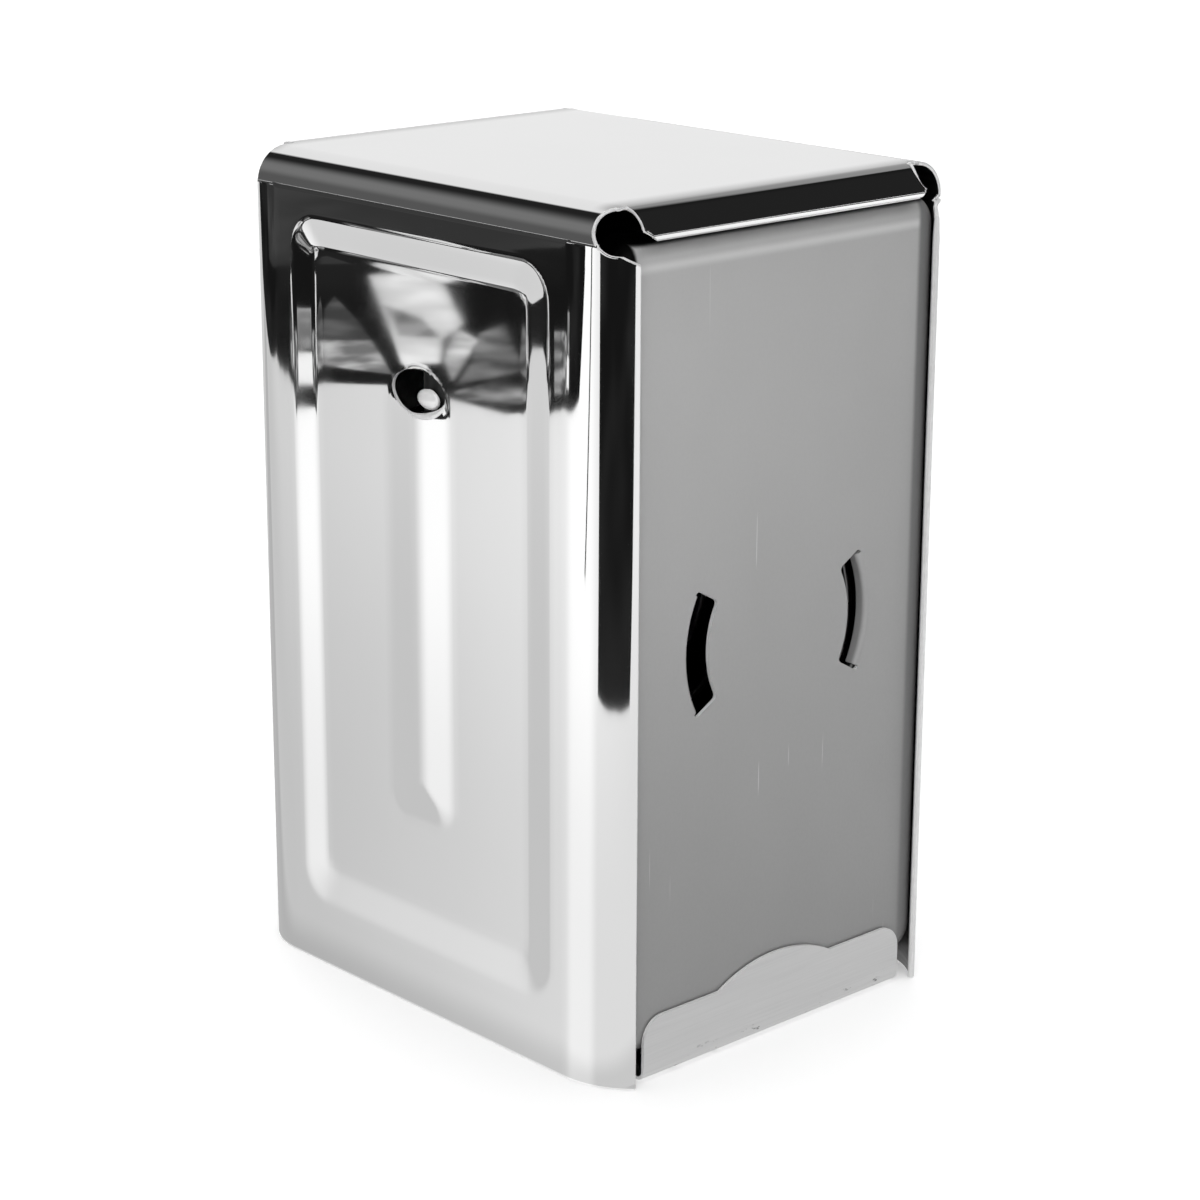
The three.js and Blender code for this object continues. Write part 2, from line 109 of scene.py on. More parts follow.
class CoverSettings(bpy.types.PropertyGroup):
    """Sizes of the wrapped cover sheet and of the forms pressed into it."""

    sheet: size("Sheet", "Thickness of the sheet", 0.8)
    top_bend: size("Top bend", "Radius between the top and a broad side", 8)
    flange_bend: size("Flange bend", "Radius of the turned-in vertical edges", 20)
    flange_turn: angle("Flange turn", "How far the vertical edges turn in", 48.5)
    flange_setback: size("Flange setback", "Flange edge behind the lip's face", 0.2)
    lip_bend: size("Lip bend", "Radius of the rolled lip over a mouth", 7)
    lip_turn: angle("Lip turn", "How far the lip rolls before its curl", 75)
    lip_curl: size("Lip curl", "Radius of the lip's curled edge", 1.5)
    lip_curl_turn: angle("Lip curl turn", "How far the lip's edge curls in", 80)
    lip_trim: size("Lip trim", "Lower end of the lip inside the top bend", 8.7)
    lip_trim_slope: size("Lip trim slant", "How far the lip's end slants outwards", 9.6)
    far_trim: size("Far lip trim", "The lip's other end inside the top bend", 3)
    far_bite: size("Far bite", "Radius of the round bite at the head of the lip's other end", 2.5)
    far_bite_shift: size("Far bite shift", "Centre of the bite outside the lip's other end", 1.2)
    far_tail: size("Far tail", "How far the foot of the lip's other end runs in", 1.5)
    relief: size("Relief", "Radius of the round corner relief", 4.8)
    relief_drop: size("Relief drop", "Centre of the relief below the top", 3.8)
    notch_drop: size("Notch drop", "Foot of the square corner notch below the top", 7.95)
    notch_shift: size("Notch shift", "How far the notch at -X lies further in", 3)
    notch_deepen: size("Notch deepening", "How much lower the foot of the notch at +X lies", 1.05)
    relief_rise: share("Relief rise", "Upward slant of the relief's axis", 0.25)
    flange_rise: size("Flange rise", "How far the near flanges run up into the top bend", 0.45)
    flange_runout: number("Flange run-out", "Steepness with which the near flanges run out", 16, 1)
    flange_fade: size("Flange fade", "Height over which the far flanges run out below the top bend", 1.8)
    bend_reach: size("Bend reach", "How far the top bend runs on past the lip's start", 1.1)
    flange_trim_drop: size("Flange trim drop", "Flange's upper tip below the relief's centre", 7.6)
    flange_trim_slope: share("Flange trim slope", "Slant of the flange's upper end", 0.6)
    panel_margin: size("Panel margin", "Panel's edge inside the flange's start", 5.5)
    panel_foot: size("Panel foot", "Panel's lower edge above the table", 15.8)
    panel_head: size("Panel head", "Panel's upper edge below the top", 13.3)
    panel_corner: size("Panel corner", "Corner radius of the panel's edge", 8)
    panel_depth: size("Panel depth", "How far the panel is pressed in", 0.9)
    bevel_side: size("Side bevel", "Width of the slope beside the panel", 6.4)
    bevel_head: size("Head bevel", "Width of the slope above the panel", 6)
    bevel_foot: size("Foot bevel", "Width of the slope below the panel", 7.8)
    bevel_corner: size("Bevel corner", "Corner radius of the panel's floor", 3.5)
    rib_width: size("Rib width", "Width of the middle rib at its root", 19.4)
    rib_crest: size("Rib crest", "Width of the middle rib at its crest", 3.2)
    rib_foot: size("Rib foot", "Lower end of the middle rib above the table", 46)
    rib_corner: size("Rib corner", "Corner radius of the middle rib's lower end", 5)
    rib_raise: size("Rib raise", "Height of the rib over the panel", 0.9)
    hole_drop: size("Hole drop", "Centre of the oval hole below the top", 46.5)
    hole_width: size("Hole width", "Width of the oval hole", 17.8)
    hole_height: size("Hole height", "Height of the oval hole", 9.8)
    hole_rim: size("Hole rim", "Radius of the deburred rim round the hole", 0.22)
    hole_lip: size("Hole lip", "Radius of the rim at the hole's lower right", 0.8)
    ripple: size("Ripple", "Unevenness of the pressed sheet", 0.006)
    rim: size("Rim", "Radius of the deburred rim along the free edges", 0.38)
    lip_rim: size("Lip rim", "Radius of the rim at the lips' upright ends", 0.48)
    flange_rim: size("Flange rim", "Radius of the rim down the flanges beside the square notches", 0.75)
    rim_inset: size("Rim inset", "Rim's centre line inside the cut edge", 0.25)


class BaseSettings(bpy.types.PropertyGroup):
    """Sizes of the base pan."""

    sheet: size("Sheet", "Thickness of the sheet", 0.8)
    bend: size("Bend", "Outer radius of the pan's bends", 2.2)
    side_end: size("Side end", "Half the length of the side flanges", 46.2)
    side_height: size("Side height", "Height of the side flanges", 11)
    lip_width: size("Lip width", "Width of an end lip", 81)
    lip_corner: size("Lip corner", "Corner radius of an end lip", 5.7)
    hump_width: size("Hump width", "Width of the hump on a lip's upper edge", 35.2)
    hump_rise: size("Hump rise", "Rise of the hump", 4.5)
    edge: size("Edge", "Rounding of the sheet's cut edges", 0.12)


class PlateSettings(bpy.types.PropertyGroup):
    """Sizes of the follower plates and their lanced spring seats."""

    sheet: size("Sheet", "Thickness of the sheet", 0.8)
    edge: size("Edge", "Radius of the plate's rounded front edge", 4)
    corner: size("Corner", "Corner radius of the plate's outline", 7)
    seat_height: size("Seat height", "Spring's axis above the table", 93.1)
    seat: size("Seat", "Radius of the lanced arcs' outer edge", 27.3)
    slot: size("Slot", "Width of the lanced arcs", 5.8)
    slot_turn: angle("Slot turn", "Half the angle that a lanced arc spans", 29.6)
    slot_corner: size("Slot corner", "Corner radius of a lanced arc's ends", 1.1)
    tongue_bend: size("Tongue bend", "Outer radius where a tongue turns in", 1.4)
    tongue: size("Tongue", "How far a tongue reaches behind the plate's face", 2.8)


class SpringSettings(bpy.types.PropertyGroup):
    """Sizes of the coil springs."""

    wire: size("Wire", "Diameter of the wire", 2)
    turns: number("Turns", "Number of turns of a spring", 6.5, 3)
    closed_turns: number("Closed turns", "Close turns at each end", 1)
    closed_gap: size("Closed gap", "Gap between the close turns", 0.6)


class DividerSettings(bpy.types.PropertyGroup):
    """Sizes of the domes on the centre divider's side flanges."""

    face: size("Face", "Outside of the side flanges from the middle", 49.3)
    dome_x: size("Dome place", "Dome's axis beside the middle", 3)
    dome_height: size("Dome height", "Dome's axis above the table", 142.3)
    dome_length: number("Dome length", "How many times longer the dome is drawn", 2, 1)
    dome_swell: number("Dome swell", "How many times taller the dome is drawn", 1.15, 1)
    dome_rise: number("Dome rise", "How many times further the dome stands out", 1.5, 1)


class FinishSettings(bpy.types.PropertyGroup):
    """Colours and polish of the metal."""

    chrome: tone("Chrome", "Colour of the bright plating", 0.84)
    chrome_haze: tone("Chrome haze", "Colour of the plating where it is handled", 0.8)
    # Painted shade: this darker plating colour stands in for the darker reflection where the top turns
    # into a lip.
    chrome_lip_shade: tone("Chrome root", "Colour of the plating where the top turns into a lip", 0.36)
    chrome_rough: share("Chrome roughness", "Roughness of the bright plating", 0.035)
    lining: tone("Lining", "Colour of the sheet's inner side", 0.2)
    # Painted highlight: the sheared edges are near white and only partly metallic, partly the bare
    # steel's paleness and partly a painted highlight.
    cut_edge_highlight: tone("Cut edge", "Colour of the sheet's sheared edge", 0.95)
    satin: tone("Satin", "Colour of the follower plates", 0.62)
    satin_rough: share("Satin roughness", "Roughness of the follower plates", 0.5)
    satin_metal: share("Satin metal", "How metallic the follower plates look", 0.4)
    # Painted highlight: how far below the plate's top its painted bright line runs.
    satin_highlight_drop: size("Satin crest", "Bright line of the follower plates below their top", 6)
    # Painted shade on the plates' near side edges and top edges.
    painted_edge_shade: tone("Shaded edge", "Colour of the follower plates' side edges", 0.015)
    pan: tone("Pan", "Colour of the base pan", 0.95)
    scuff: tone("Scuff", "Colour of the marks on the pan's lower edge", 0.12)
    wire: tone("Wire", "Colour of the spring wire", 0.3)
    web: tone("Web", "Colour of the divider", 0.05)
    # Painted highlight: the divider's domes are near white and hardly metallic.
    dome: tone("Dome", "Colour of the divider's raised domes", 0.95)


class StageSettings(bpy.types.PropertyGroup):
    """Camera, floor and light round the dispenser."""

    azimuth: angle("Azimuth", "Camera's bearing, with 0 looking along +Y", 47.250)
    elevation: angle("Elevation", "Camera's height angle", 16.713)
    roll: angle("Roll", "Camera's turn about its own axis", -0.184)
    distance: size("Distance", "Camera's distance from its target", 713.02)
    aim_height: size("Aim height", "Target's height above the table", 86.876)
    aim_right: size("Aim right", "Target's place to the right of the middle", 2.126)
    lens: bpy.props.FloatProperty(
        name="Lens",
        description="Focal length on a 36 mm sensor",
        default=92.988,
        subtype="DISTANCE_CAMERA",
    )
    floor: tone("Floor", "Colour of the floor", 0.8)
    floor_lift: share("Floor lift", "Light added where the camera sees the floor", 0.34)
    overhead: number("Overhead", "Strength of the broad overhead light", 2)
    overhead_spread: angle("Overhead spread", "Width of the overhead light", 40)
    front: number("Front", "Strength of the soft light on the mouth's side", 1)
    front_heading: angle("Front heading", "Heading that the front light comes from", -45)
    front_height: angle("Front height", "Height angle that the front light comes from", 35)
    table: share("Table", "Brightness of the white table in the metal", 0.77)
    table_glow: share("Table glow", "Light added along the table's brightest heading", 0.22)
    table_side: share("Table side", "Light added along the table's brighter half", 0.25)
    contact: share("Contact", "How much light the table keeps at the dispenser's foot", 0.8)
    nearby: share("Nearby", "How much light the table keeps near the dispenser", 0.85)
    room: tone("Room", "Dim room that the metal reflects", 0.018)
    backdrop: tone("Backdrop", "White backdrop that the top reflects", 0.9)
    glow: tone("Glow", "Paler end of the backdrop", 0.6)
    haze: tone("Haze", "Grey wall that the top bend reflects", 0.2)


# Mesh helpers

def stations(start, *runs):
    """Places from start through each (end, step) run, evenly spread within a run."""
    places = [np.array([start])]
    for end, step in runs:
        count = max(1, math.ceil(abs(end - start) / step))
        places.append(np.linspace(start, end, count + 1)[1:])
        start = end
    return np.concatenate(places)


def mirrored_stations(half):
    """Places, or turns, on both sides of 0 from those on the positive side, which start at 0."""
    return np.concatenate([-half[:0:-1], half])


def arc(centre_u, centre_v, radius, start, end, steps):
    """Points on an arc, both ends included, as a list of pairs."""
    turns = np.linspace(start, end, steps + 1)
    return [(centre_u + radius * math.cos(t), centre_v + radius * math.sin(t)) for t in turns]


def add_grid(bm, points):
    """Adds a rows x columns x 3 array of points as a patch of quads."""
    rows, columns = points.shape[:2]
    verts = [bm.verts.new(p) for p in points.reshape(-1, 3)]
    for r in range(rows - 1):
        for c in range(columns - 1):
            a = r * columns + c
            bm.faces.new((verts[a], verts[a + 1], verts[a + columns + 1], verts[a + columns]))


def add_loft(bm, rings, closed=True):
    """Adds a closed solid, or an open skin, through matching rings of points."""
    loops = [[bm.verts.new(p) for p in ring] for ring in rings]
    count = len(loops[0])
    for one, two in zip(loops, loops[1:]):
        for i in range(count):
            j = (i + 1) % count
            bm.faces.new((one[i], one[j], two[j], two[i]))
    if closed:
        bm.faces.new(loops[0][::-1])
    bm.faces.new(loops[-1])


def new_object(name, bm, finishes=(), index=0, up=None):
    """Turns a bmesh into an object; up is a point and the way that its nearest face has to look."""
    bmesh.ops.remove_doubles(bm, verts=bm.verts, dist=WELD)
    bmesh.ops.recalc_face_normals(bm, faces=bm.faces)
    if up is not None:
        point, way = Vector(up[0]), Vector(up[1])
        nearest = min(bm.faces, key=lambda f: (f.calc_center_median() - point).length)
        if nearest.normal.dot(way) < 0:
            bmesh.ops.reverse_faces(bm, faces=bm.faces)
    for face in bm.faces:
        face.material_index = index
    mesh = bpy.data.meshes.new(name)
    bm.to_mesh(mesh)
    bm.free()
    for finish in finishes:
        mesh.materials.append(finish)
    obj = bpy.data.objects.new(name, mesh)
    bpy.context.scene.collection.objects.link(obj)
    return obj


def settle(obj):
    """Replaces an object's mesh by what its modifiers make of it."""
    graph = bpy.context.evaluated_depsgraph_get()
    mesh = bpy.data.meshes.new_from_object(obj.evaluated_get(graph))
    old = obj.data
    obj.modifiers.clear()
    obj.data = mesh
    mesh.name = obj.name
    bpy.data.meshes.remove(old)


def discard(obj):
    """Removes an object and its mesh."""
    mesh = obj.data
    bpy.data.objects.remove(obj)
    bpy.data.meshes.remove(mesh)


def thicken(obj, sheet):
    """Gives an outer face its thickness; the inner side is material 1 and the cut edge material 2."""
    solid = obj.modifiers.new("sheet", "SOLIDIFY")
    solid.thickness = sheet
    solid.offset = -1
    solid.use_even_offset = True
    solid.material_offset = 1
    solid.material_offset_rim = 2
    settle(obj)


def combine(obj, other, operation):
    """Cuts another closed object from this one, or joins it on, and removes the other."""
    boolean = obj.modifiers.new(operation.lower(), "BOOLEAN")
    boolean.operation = operation
    boolean.solver = "MANIFOLD"
    boolean.object = other
    settle(obj)
    discard(other)


def shade(obj, weighted=False):
    """Smooth shading with sharp creases kept."""
    obj.data.shade_smooth()
    obj.data.set_sharp_from_angle(angle=SMOOTH_ANGLE)
    if weighted:
        normals = obj.modifiers.new("normals", "WEIGHTED_NORMAL")
        normals.keep_sharp = True
        settle(obj)


def assign(obj, body, node):
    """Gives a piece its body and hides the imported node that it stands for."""
    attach(obj, body)
    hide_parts(node)


def turned_copy(obj, name):
    """A copy of a piece turned half round the upright axis."""
    copy = obj.copy()
    copy.data = obj.data.copy()
    copy.data.transform(HALF_TURN)
    copy.name = name
    bpy.context.scene.collection.objects.link(copy)
    return copy


# Finishes

class Nodes:
    """Adds shader nodes to a tree one at a time."""

    def __init__(self, tree):
        self.tree = tree

    def link(self, source, target):
        self.tree.links.new(source, target)

    def feed(self, value, socket):
        """Links another node's output, or sets a plain value."""
        if isinstance(value, bpy.types.NodeSocket):
            self.link(value, socket)
        elif socket.type == "RGBA":
            socket.default_value = (*value, 1)
        else:
            socket.default_value = value

    def math(self, operation, *values):
        node = self.tree.nodes.new("ShaderNodeMath")
        node.operation = operation
        for value, socket in zip(values, node.inputs):
            self.feed(value, socket)
        return node.outputs[0]

    def ramp(self, factor, low, high, start=0, end=1):
        """Maps a factor from low..high to start..end with soft ends."""
        node = self.tree.nodes.new("ShaderNodeMapRange")
        node.interpolation_type = "SMOOTHSTEP"
        for name, value in zip(("From Min", "From Max", "To Min", "To Max"), (low, high, start, end)):
            node.inputs[name].default_value = value
        self.link(factor, node.inputs["Value"])
        return node.outputs["Result"]

    def blend(self, factor, one, two):
        """Mixes two colours, each a plain colour or another node's output."""
        node = self.tree.nodes.new("ShaderNodeMix")
        node.data_type = "RGBA"
        self.link(factor, node.inputs["Factor"])
        self.feed(one, node.inputs[6])
        self.feed(two, node.inputs[7])
        return node.outputs[2]

    def noise(self, places, cells, detail=3, rough=0.55, turn=0):
        """Noise with a number of cells per metre along each axis, laid at a turn about X."""
        mapping = self.tree.nodes.new("ShaderNodeMapping")
        mapping.inputs["Scale"].default_value = cells
        mapping.inputs["Rotation"].default_value = (turn, 0, 0)
        self.link(places, mapping.inputs["Vector"])
        node = self.tree.nodes.new("ShaderNodeTexNoise")
        node.inputs["Scale"].default_value = 1
        node.inputs["Detail"].default_value = detail
        node.inputs["Roughness"].default_value = rough
        self.link(mapping.outputs["Vector"], node.inputs["Vector"])
        return node.outputs["Fac"]

    def split(self, vector):
        node = self.tree.nodes.new("ShaderNodeSeparateXYZ")
        self.link(vector, node.inputs[0])
        return node.outputs

    def object_places(self):
        return self.tree.nodes.new("ShaderNodeTexCoord").outputs["Object"]


class Finish(Nodes):
    """A metal material."""

    def __init__(self, name, metal=1):
        self.material = bpy.data.materials.new(name)
        self.material.use_nodes = True
        super().__init__(self.material.node_tree)
        self.shader = self.tree.nodes["Principled BSDF"]
        self.shader.inputs["Metallic"].default_value = metal
        self.places = self.object_places()

    def grain(self, cells, **more):
        return self.noise(self.places, cells, **more)

    def set(self, name, source):
        self.link(source, self.shader.inputs[name])

    def bump(self, height, depth, strength):
        node = self.tree.nodes.new("ShaderNodeBump")
        node.inputs["Distance"].default_value = depth
        node.inputs["Strength"].default_value = strength
        self.link(height, node.inputs["Height"])
        self.set("Normal", node.outputs["Normal"])


def shaded(colour, amount):
    """A colour made darker, or lighter, by a factor."""
    return [min(1, amount * c) for c in colour]


def chrome_finish(colours):
    """Mirror plating with faint handling haze, and painted shade where the top turns into a lip."""
    finish = Finish("bright_chrome")
    haze = finish.grain((30, 30, 20))
    place = finish.split(finish.places)
    # Painted shade: the plating is darkened where the top turns into a lip.
    beside_lip = finish.ramp(finish.math("ABSOLUTE", place["X"]), 50.5 * MM, 57 * MM)
    on_top = finish.ramp(place["Z"], 188.6 * MM, 189.6 * MM)
    root = finish.math("MULTIPLY", beside_lip, on_top)
    face = finish.blend(haze, colours.chrome, colours.chrome_haze)
    finish.set("Base Color", finish.blend(root, face, colours.chrome_lip_shade))
    smooth = colours.chrome_rough
    finish.set("Roughness", finish.ramp(haze, 0.35, 0.75, 0.6 * smooth, 1.7 * smooth))
    return finish.material


def grained_finish(name, colour, cells, dark, rough, metal=1):
    """Plain metal whose fine grain darkens its colour and varies its roughness."""
    finish = Finish(name, metal)
    grain = finish.grain(cells)
    finish.set("Base Color", finish.blend(grain, colour, shaded(colour, dark)))
    finish.set("Roughness", finish.ramp(grain, 0.3, 0.7, *rough))
    return finish.material


def lining_finish(colours):
    """Unpolished inner side of the plated sheet."""
    return grained_finish("sheet_lining", colours.lining, (50, 50, 900), 0.7, (0.34, 0.5))


def edge_finish(colours):
    """Sheared and deburred sheet edge, near white and only partly metallic: partly the bare steel's
    paleness, partly a painted highlight.
    """
    return grained_finish("cut_edge_highlight", colours.cut_edge_highlight, (800, 800, 800), 0.85, (0.3, 0.5), metal=0.3)


def wire_finish(colours):
    """Drawn spring wire."""
    return grained_finish("spring_wire", colours.wire, (1500, 300, 300), 0.75, (0.24, 0.4))


def satin_finish(colours):
    """Satin plate with a fine grain and faint scratches; painted shade makes it darker towards the
    bottom and towards one side, and along its side and top edges, and a painted highlight line runs
    below its top.
    """
    finish = Finish("satin_plate")
    brushed = finish.grain((400, 1500, 1100), detail=2)
    cloud = finish.grain((20, 20, 12))
    lines = finish.grain((400, 1350, 25), detail=1, turn=0.25)
    marks = finish.ramp(lines, 0.76, 0.8)
    place = finish.split(finish.places)
    aside = finish.math("MULTIPLY", place["Y"], finish.math("SIGN", place["X"]))
    # Painted shade and light: the face is darker towards the bottom and lighter towards the top.
    height = finish.ramp(place["Z"], 45 * MM, 205 * MM)
    face = finish.blend(height, shaded(colours.satin, 0.69), shaded(colours.satin, 1.11))
    # Painted shade: the face darkens towards its far side.
    face = finish.blend(finish.ramp(aside, -40 * MM, 45 * MM, 0, 0.08), face, (0, 0, 0))
    face = finish.blend(finish.ramp(cloud, 0, 1, 0, 0.1), face, (0, 0, 0))
    face = finish.blend(marks, face, shaded(colours.satin, 1.15))
    # Painted highlight: a bright line a set drop below the plate's top.
    below = finish.math("SUBTRACT", PLATE_HIGH.z, place["Z"])
    crest = finish.math("ABSOLUTE", finish.math("SUBTRACT", below, colours.satin_highlight_drop))
    face = finish.blend(finish.ramp(crest, 0, 1.6 * MM, 0.6, 0), face, shaded(colours.satin, 1.5))
    # Painted shade on the far side edge's rounding.
    face = finish.blend(finish.ramp(aside, 40.5 * MM, 42 * MM), face, shaded(colours.satin, 0.45))
    # Painted shade: the near side edge and the top edge are nearly black and fully metallic.
    beside = finish.ramp(aside, -43.6 * MM, -42.6 * MM, 1, 0)
    edge = finish.math("MAXIMUM", beside, finish.ramp(below, 0.8 * MM, 2 * MM, 1, 0))
    finish.set("Base Color", finish.blend(edge, face, colours.painted_edge_shade))
    finish.set("Metallic", finish.ramp(edge, 0, 1, colours.satin_metal, 1))
    rough = colours.satin_rough
    finish.set("Roughness", finish.ramp(brushed, 0.25, 0.75, 0.9 * rough, 1.1 * rough))
    finish.bump(brushed, GRAIN_DEPTH, GRAIN_STRENGTH)
    return finish.material


def pan_finish(colours):
    """Satin base pan with dark scuffs along the foot of its lips."""
    finish = Finish("base_pan")
    brushed = finish.grain((400, 50, 3000), detail=2)
    spots = finish.grain((160, 160, 500), detail=4, rough=0.7)
    low = finish.ramp(finish.split(finish.places)["Z"], 1.5 * MM, 4.5 * MM, 1, 0)
    worn = finish.math("MULTIPLY", finish.ramp(spots, 0.6, 0.68), low)
    face = finish.blend(brushed, colours.pan, shaded(colours.pan, 0.9))
    finish.set("Base Color", finish.blend(worn, face, colours.scuff))
    finish.set("Roughness", finish.ramp(brushed, 0.25, 0.75, 0.3, 0.42))
    finish.bump(brushed, GRAIN_DEPTH, GRAIN_STRENGTH)
    return finish.material


def web_finish(colours):
    """Dull rolled sheet of the divider, with its domes painted near white as a painted highlight."""
    finish = Finish("divider_web")
    rolled = finish.grain((300, 40, 1200))
    face = finish.blend(rolled, colours.web, shaded(colours.web, 0.85))
    aside = finish.math("ABSOLUTE", finish.split(finish.places)["Y"])
    # Painted highlight: the domes are near white and hardly metallic.
    dome = finish.ramp(aside, 49.4 * MM, 49.7 * MM)
    finish.set("Base Color", finish.blend(dome, face, colours.dome))
    finish.set("Metallic", finish.ramp(dome, 0, 1, 1, 0.2))
    finish.set("Roughness", finish.ramp(rolled, 0.3, 0.7, 0.3, 0.4))
    return finish.material


# Cover

class CoverPlan:
    """Derived places of the cover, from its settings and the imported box."""

    def __init__(self, c):
        self.half_length = COVER_HIGH.x
        self.half_depth = COVER_HIGH.y
        self.height = COVER_HIGH.z
        self.flange_edge = self.half_length - c.flange_setback
        self.flange_start = self.flange_edge - c.flange_bend * math.sin(c.flange_turn)
        self.bend_foot = self.height - c.top_bend
        self.flat_half = self.half_depth - c.top_bend
        reach = (c.lip_bend - c.lip_curl) * math.sin(c.lip_turn)
        self.lip_start = self.half_length - c.lip_curl - reach
        self.bend_end = self.lip_start + c.bend_reach
        self.panel_half = self.flange_start - c.panel_margin
        self.panel_top = self.height - c.panel_head
        self.hole_z = self.height - c.hole_drop


def box_distance(x, z, half, low, high, radius):
    """Signed distance to a rectangle with round corners, negative inside."""
    across = np.abs(x) - (half - radius)
    along = np.abs(z - (low + high) / 2) - ((high - low) / 2 - radius)
    outside = np.hypot(np.maximum(across, 0), np.maximum(along, 0))
    return outside + np.minimum(np.maximum(across, along), 0) - radius


def eased(t, ease=0.14):
    """A ramp from 0 to 1 whose two corners are rounded."""
    foot = (t + ease) ** 2 / (4 * ease)
    head = 1 - (1 + ease - t) ** 2 / (4 * ease)
    ramp = np.where(t < ease, foot, np.where(t > 1 - ease, head, t))
    return np.where(t <= -ease, 0, np.where(t >= 1 + ease, 1, ramp))


def pressed_depth(c, plan, x, z):
    """How far the broad side lies behind its own plane: panel and rib."""
    inside = -box_distance(x, z, plan.panel_half, c.panel_foot, plan.panel_top, c.panel_corner)
    floor_half = plan.panel_half - c.bevel_side
    floor_low = c.panel_foot + c.bevel_foot
    floor_high = plan.panel_top - c.bevel_head
    beyond = box_distance(x, z, floor_half, floor_low, floor_high, c.bevel_corner)
    depth = c.panel_depth * eased(inside / (inside + beyond))

    rib_half = c.rib_width / 2
    head = np.hypot(x, np.maximum(z - plan.hole_z + c.hole_height / 2, 0)) - rib_half
    foot = box_distance(x, z, rib_half, c.rib_foot, 2 * plan.height, c.rib_corner)
    depth -= c.rib_raise * eased(-np.maximum(head, foot) / (rib_half - c.rib_crest / 2))
    return depth


def ripples(amount, x, z):
    """Faint unevenness of a large pressed sheet."""
    wide = np.sin(x / (11 * MM) + 0.7) * np.sin(z / (17 * MM) + 0.4)
    long = np.sin(x / (23 * MM) - z / (29 * MM) + 1.9)
    return amount * (2 + wide + long)


def side_columns(c, plan):
    """Columns of the near side: place, distance drawn in behind the side's plane, flange angle."""
    half = stations(
        0,
        (c.rib_width / 2 + MM, 0.8 * MM),
        (plan.panel_half - c.bevel_side - MM, 2.2 * MM),
        (plan.panel_half + MM, 0.8 * MM),
        (plan.flange_start, 1.6 * MM),
    )
    step = math.radians(2.5)
    crossings = (plan.lip_start, plan.bend_end)
    ends = [math.asin((x - plan.flange_start) / c.flange_bend) for x in crossings]
    turns = stations(0, (ends[0], step), (ends[1], step), (c.flange_turn, step))[1:]
    x = np.concatenate([half, plan.flange_start + c.flange_bend * np.sin(turns)])
    drawn = np.concatenate([0 * half, c.flange_bend * (1 - np.cos(turns))])
    bend = np.concatenate([0 * half, turns])
    return mirrored_stations(x), np.concatenate([drawn[:0:-1], drawn]), mirrored_stations(bend)


def side_rows(c, plan):
    """Heights of the rows of a broad side, closer where it is pressed."""
    rib_half = c.rib_width / 2
    return stations(
        0,
        (c.panel_foot - MM, 2.6 * MM),
        (c.panel_foot + c.bevel_foot + MM, 0.8 * MM),
        (c.rib_foot - MM, 2.2 * MM),
        (c.rib_foot + rib_half + MM, 0.9 * MM),
        (plan.hole_z - c.hole_height, 2.4 * MM),
        (plan.hole_z + c.hole_height, 0.7 * MM),
        (plan.panel_top - c.bevel_head - MM, 1.6 * MM),
        (plan.panel_top + MM, 0.8 * MM),
        (plan.bend_foot - c.flange_fade, 0.5 * MM),
        (plan.bend_foot, 0.2 * MM),
    )


def flange_draw(c, plan, drawn, z, soft):
    """How far the flange draws a column in at a height, run out at the top bend softly or in a step."""
    if soft:
        below = np.clip((plan.bend_foot - z) / c.flange_fade, 0, 1)
        return drawn * below**2 * (3 - 2 * below)
    return np.minimum(drawn, c.flange_runout * np.maximum(plan.bend_foot + c.flange_rise - z, 0))


def side_patches(c, plan, soft):
    """A broad side with its flanges, laid at the near side, and the bend that joins it to the top."""
    x, drawn, turn = side_columns(c, plan)
    z = side_rows(c, plan)
    gx, gz = np.meshgrid(x, z)
    inward = ripples(c.ripple, gx, gz) * np.clip((plan.bend_foot - gz) / (4 * MM), 0, 1)
    inward += np.where(np.abs(gx) < plan.flange_start, pressed_depth(c, plan, gx, gz), 0)
    y = flange_draw(c, plan, drawn, gz, soft) + np.cos(turn) * inward - plan.half_depth
    wall = np.stack([gx - np.sin(turn) * inward, y, gz], -1)

    kept = np.abs(x) <= plan.bend_end + WELD
    risen = math.asin(c.flange_rise / c.top_bend)
    gx, gt = np.meshgrid(x[kept], stations(0, (risen, 0.01), (QUARTER, 0.08)))
    gz = plan.bend_foot + c.top_bend * np.sin(gt)
    y = flange_draw(c, plan, drawn[kept], gz, soft) - plan.flat_half - c.top_bend * np.cos(gt)
    return wall, np.stack([gx, y, gz], -1)


def top_patch(plan, x):
    """The flat top between the two bends."""
    x = x[np.abs(x) <= plan.lip_start + WELD]
    y = mirrored_stations(stations(0, (plan.flat_half, 5 * MM)))
    return np.array([[(px, py, plan.height) for px in x] for py in y]), y


def lip_patch(c, plan, y):
    """The lip rolled down over the +X mouth, with its lower edge curled in."""
    centre_z = plan.height - c.lip_bend
    end = QUARTER - c.lip_turn
    profile = arc(plan.lip_start, centre_z, c.lip_bend, QUARTER, end, 20)
    step = c.lip_bend - c.lip_curl
    curl_x = plan.lip_start + step * math.cos(end)
    curl_z = centre_z + step * math.sin(end)
    profile += arc(curl_x, curl_z, c.lip_curl, end, end - c.lip_curl_turn, 10)[1:]
    return np.array([[(px, py, pz) for py in y] for px, pz in profile])


def turned(points):
    """A patch turned half round the upright axis."""
    return points * np.array([-1, -1, 1])


def add_prism(bm, outline, place, start, end):
    """A closed prism: place(u, v, w) sets an outline's point in space at w."""
    add_loft(bm, [[place(u, v, w) for u, v in outline] for w in (start, end)])


def four_corners(name, finishes, build):
    """A cutting object with the same form on all four corners, which leaves the cut edge's finish."""
    bm = bmesh.new()
    for sx in (1, -1):
        for sy in (1, -1):
            build(bm, sx, sy)
    return new_object(name, bm, finishes, index=2)


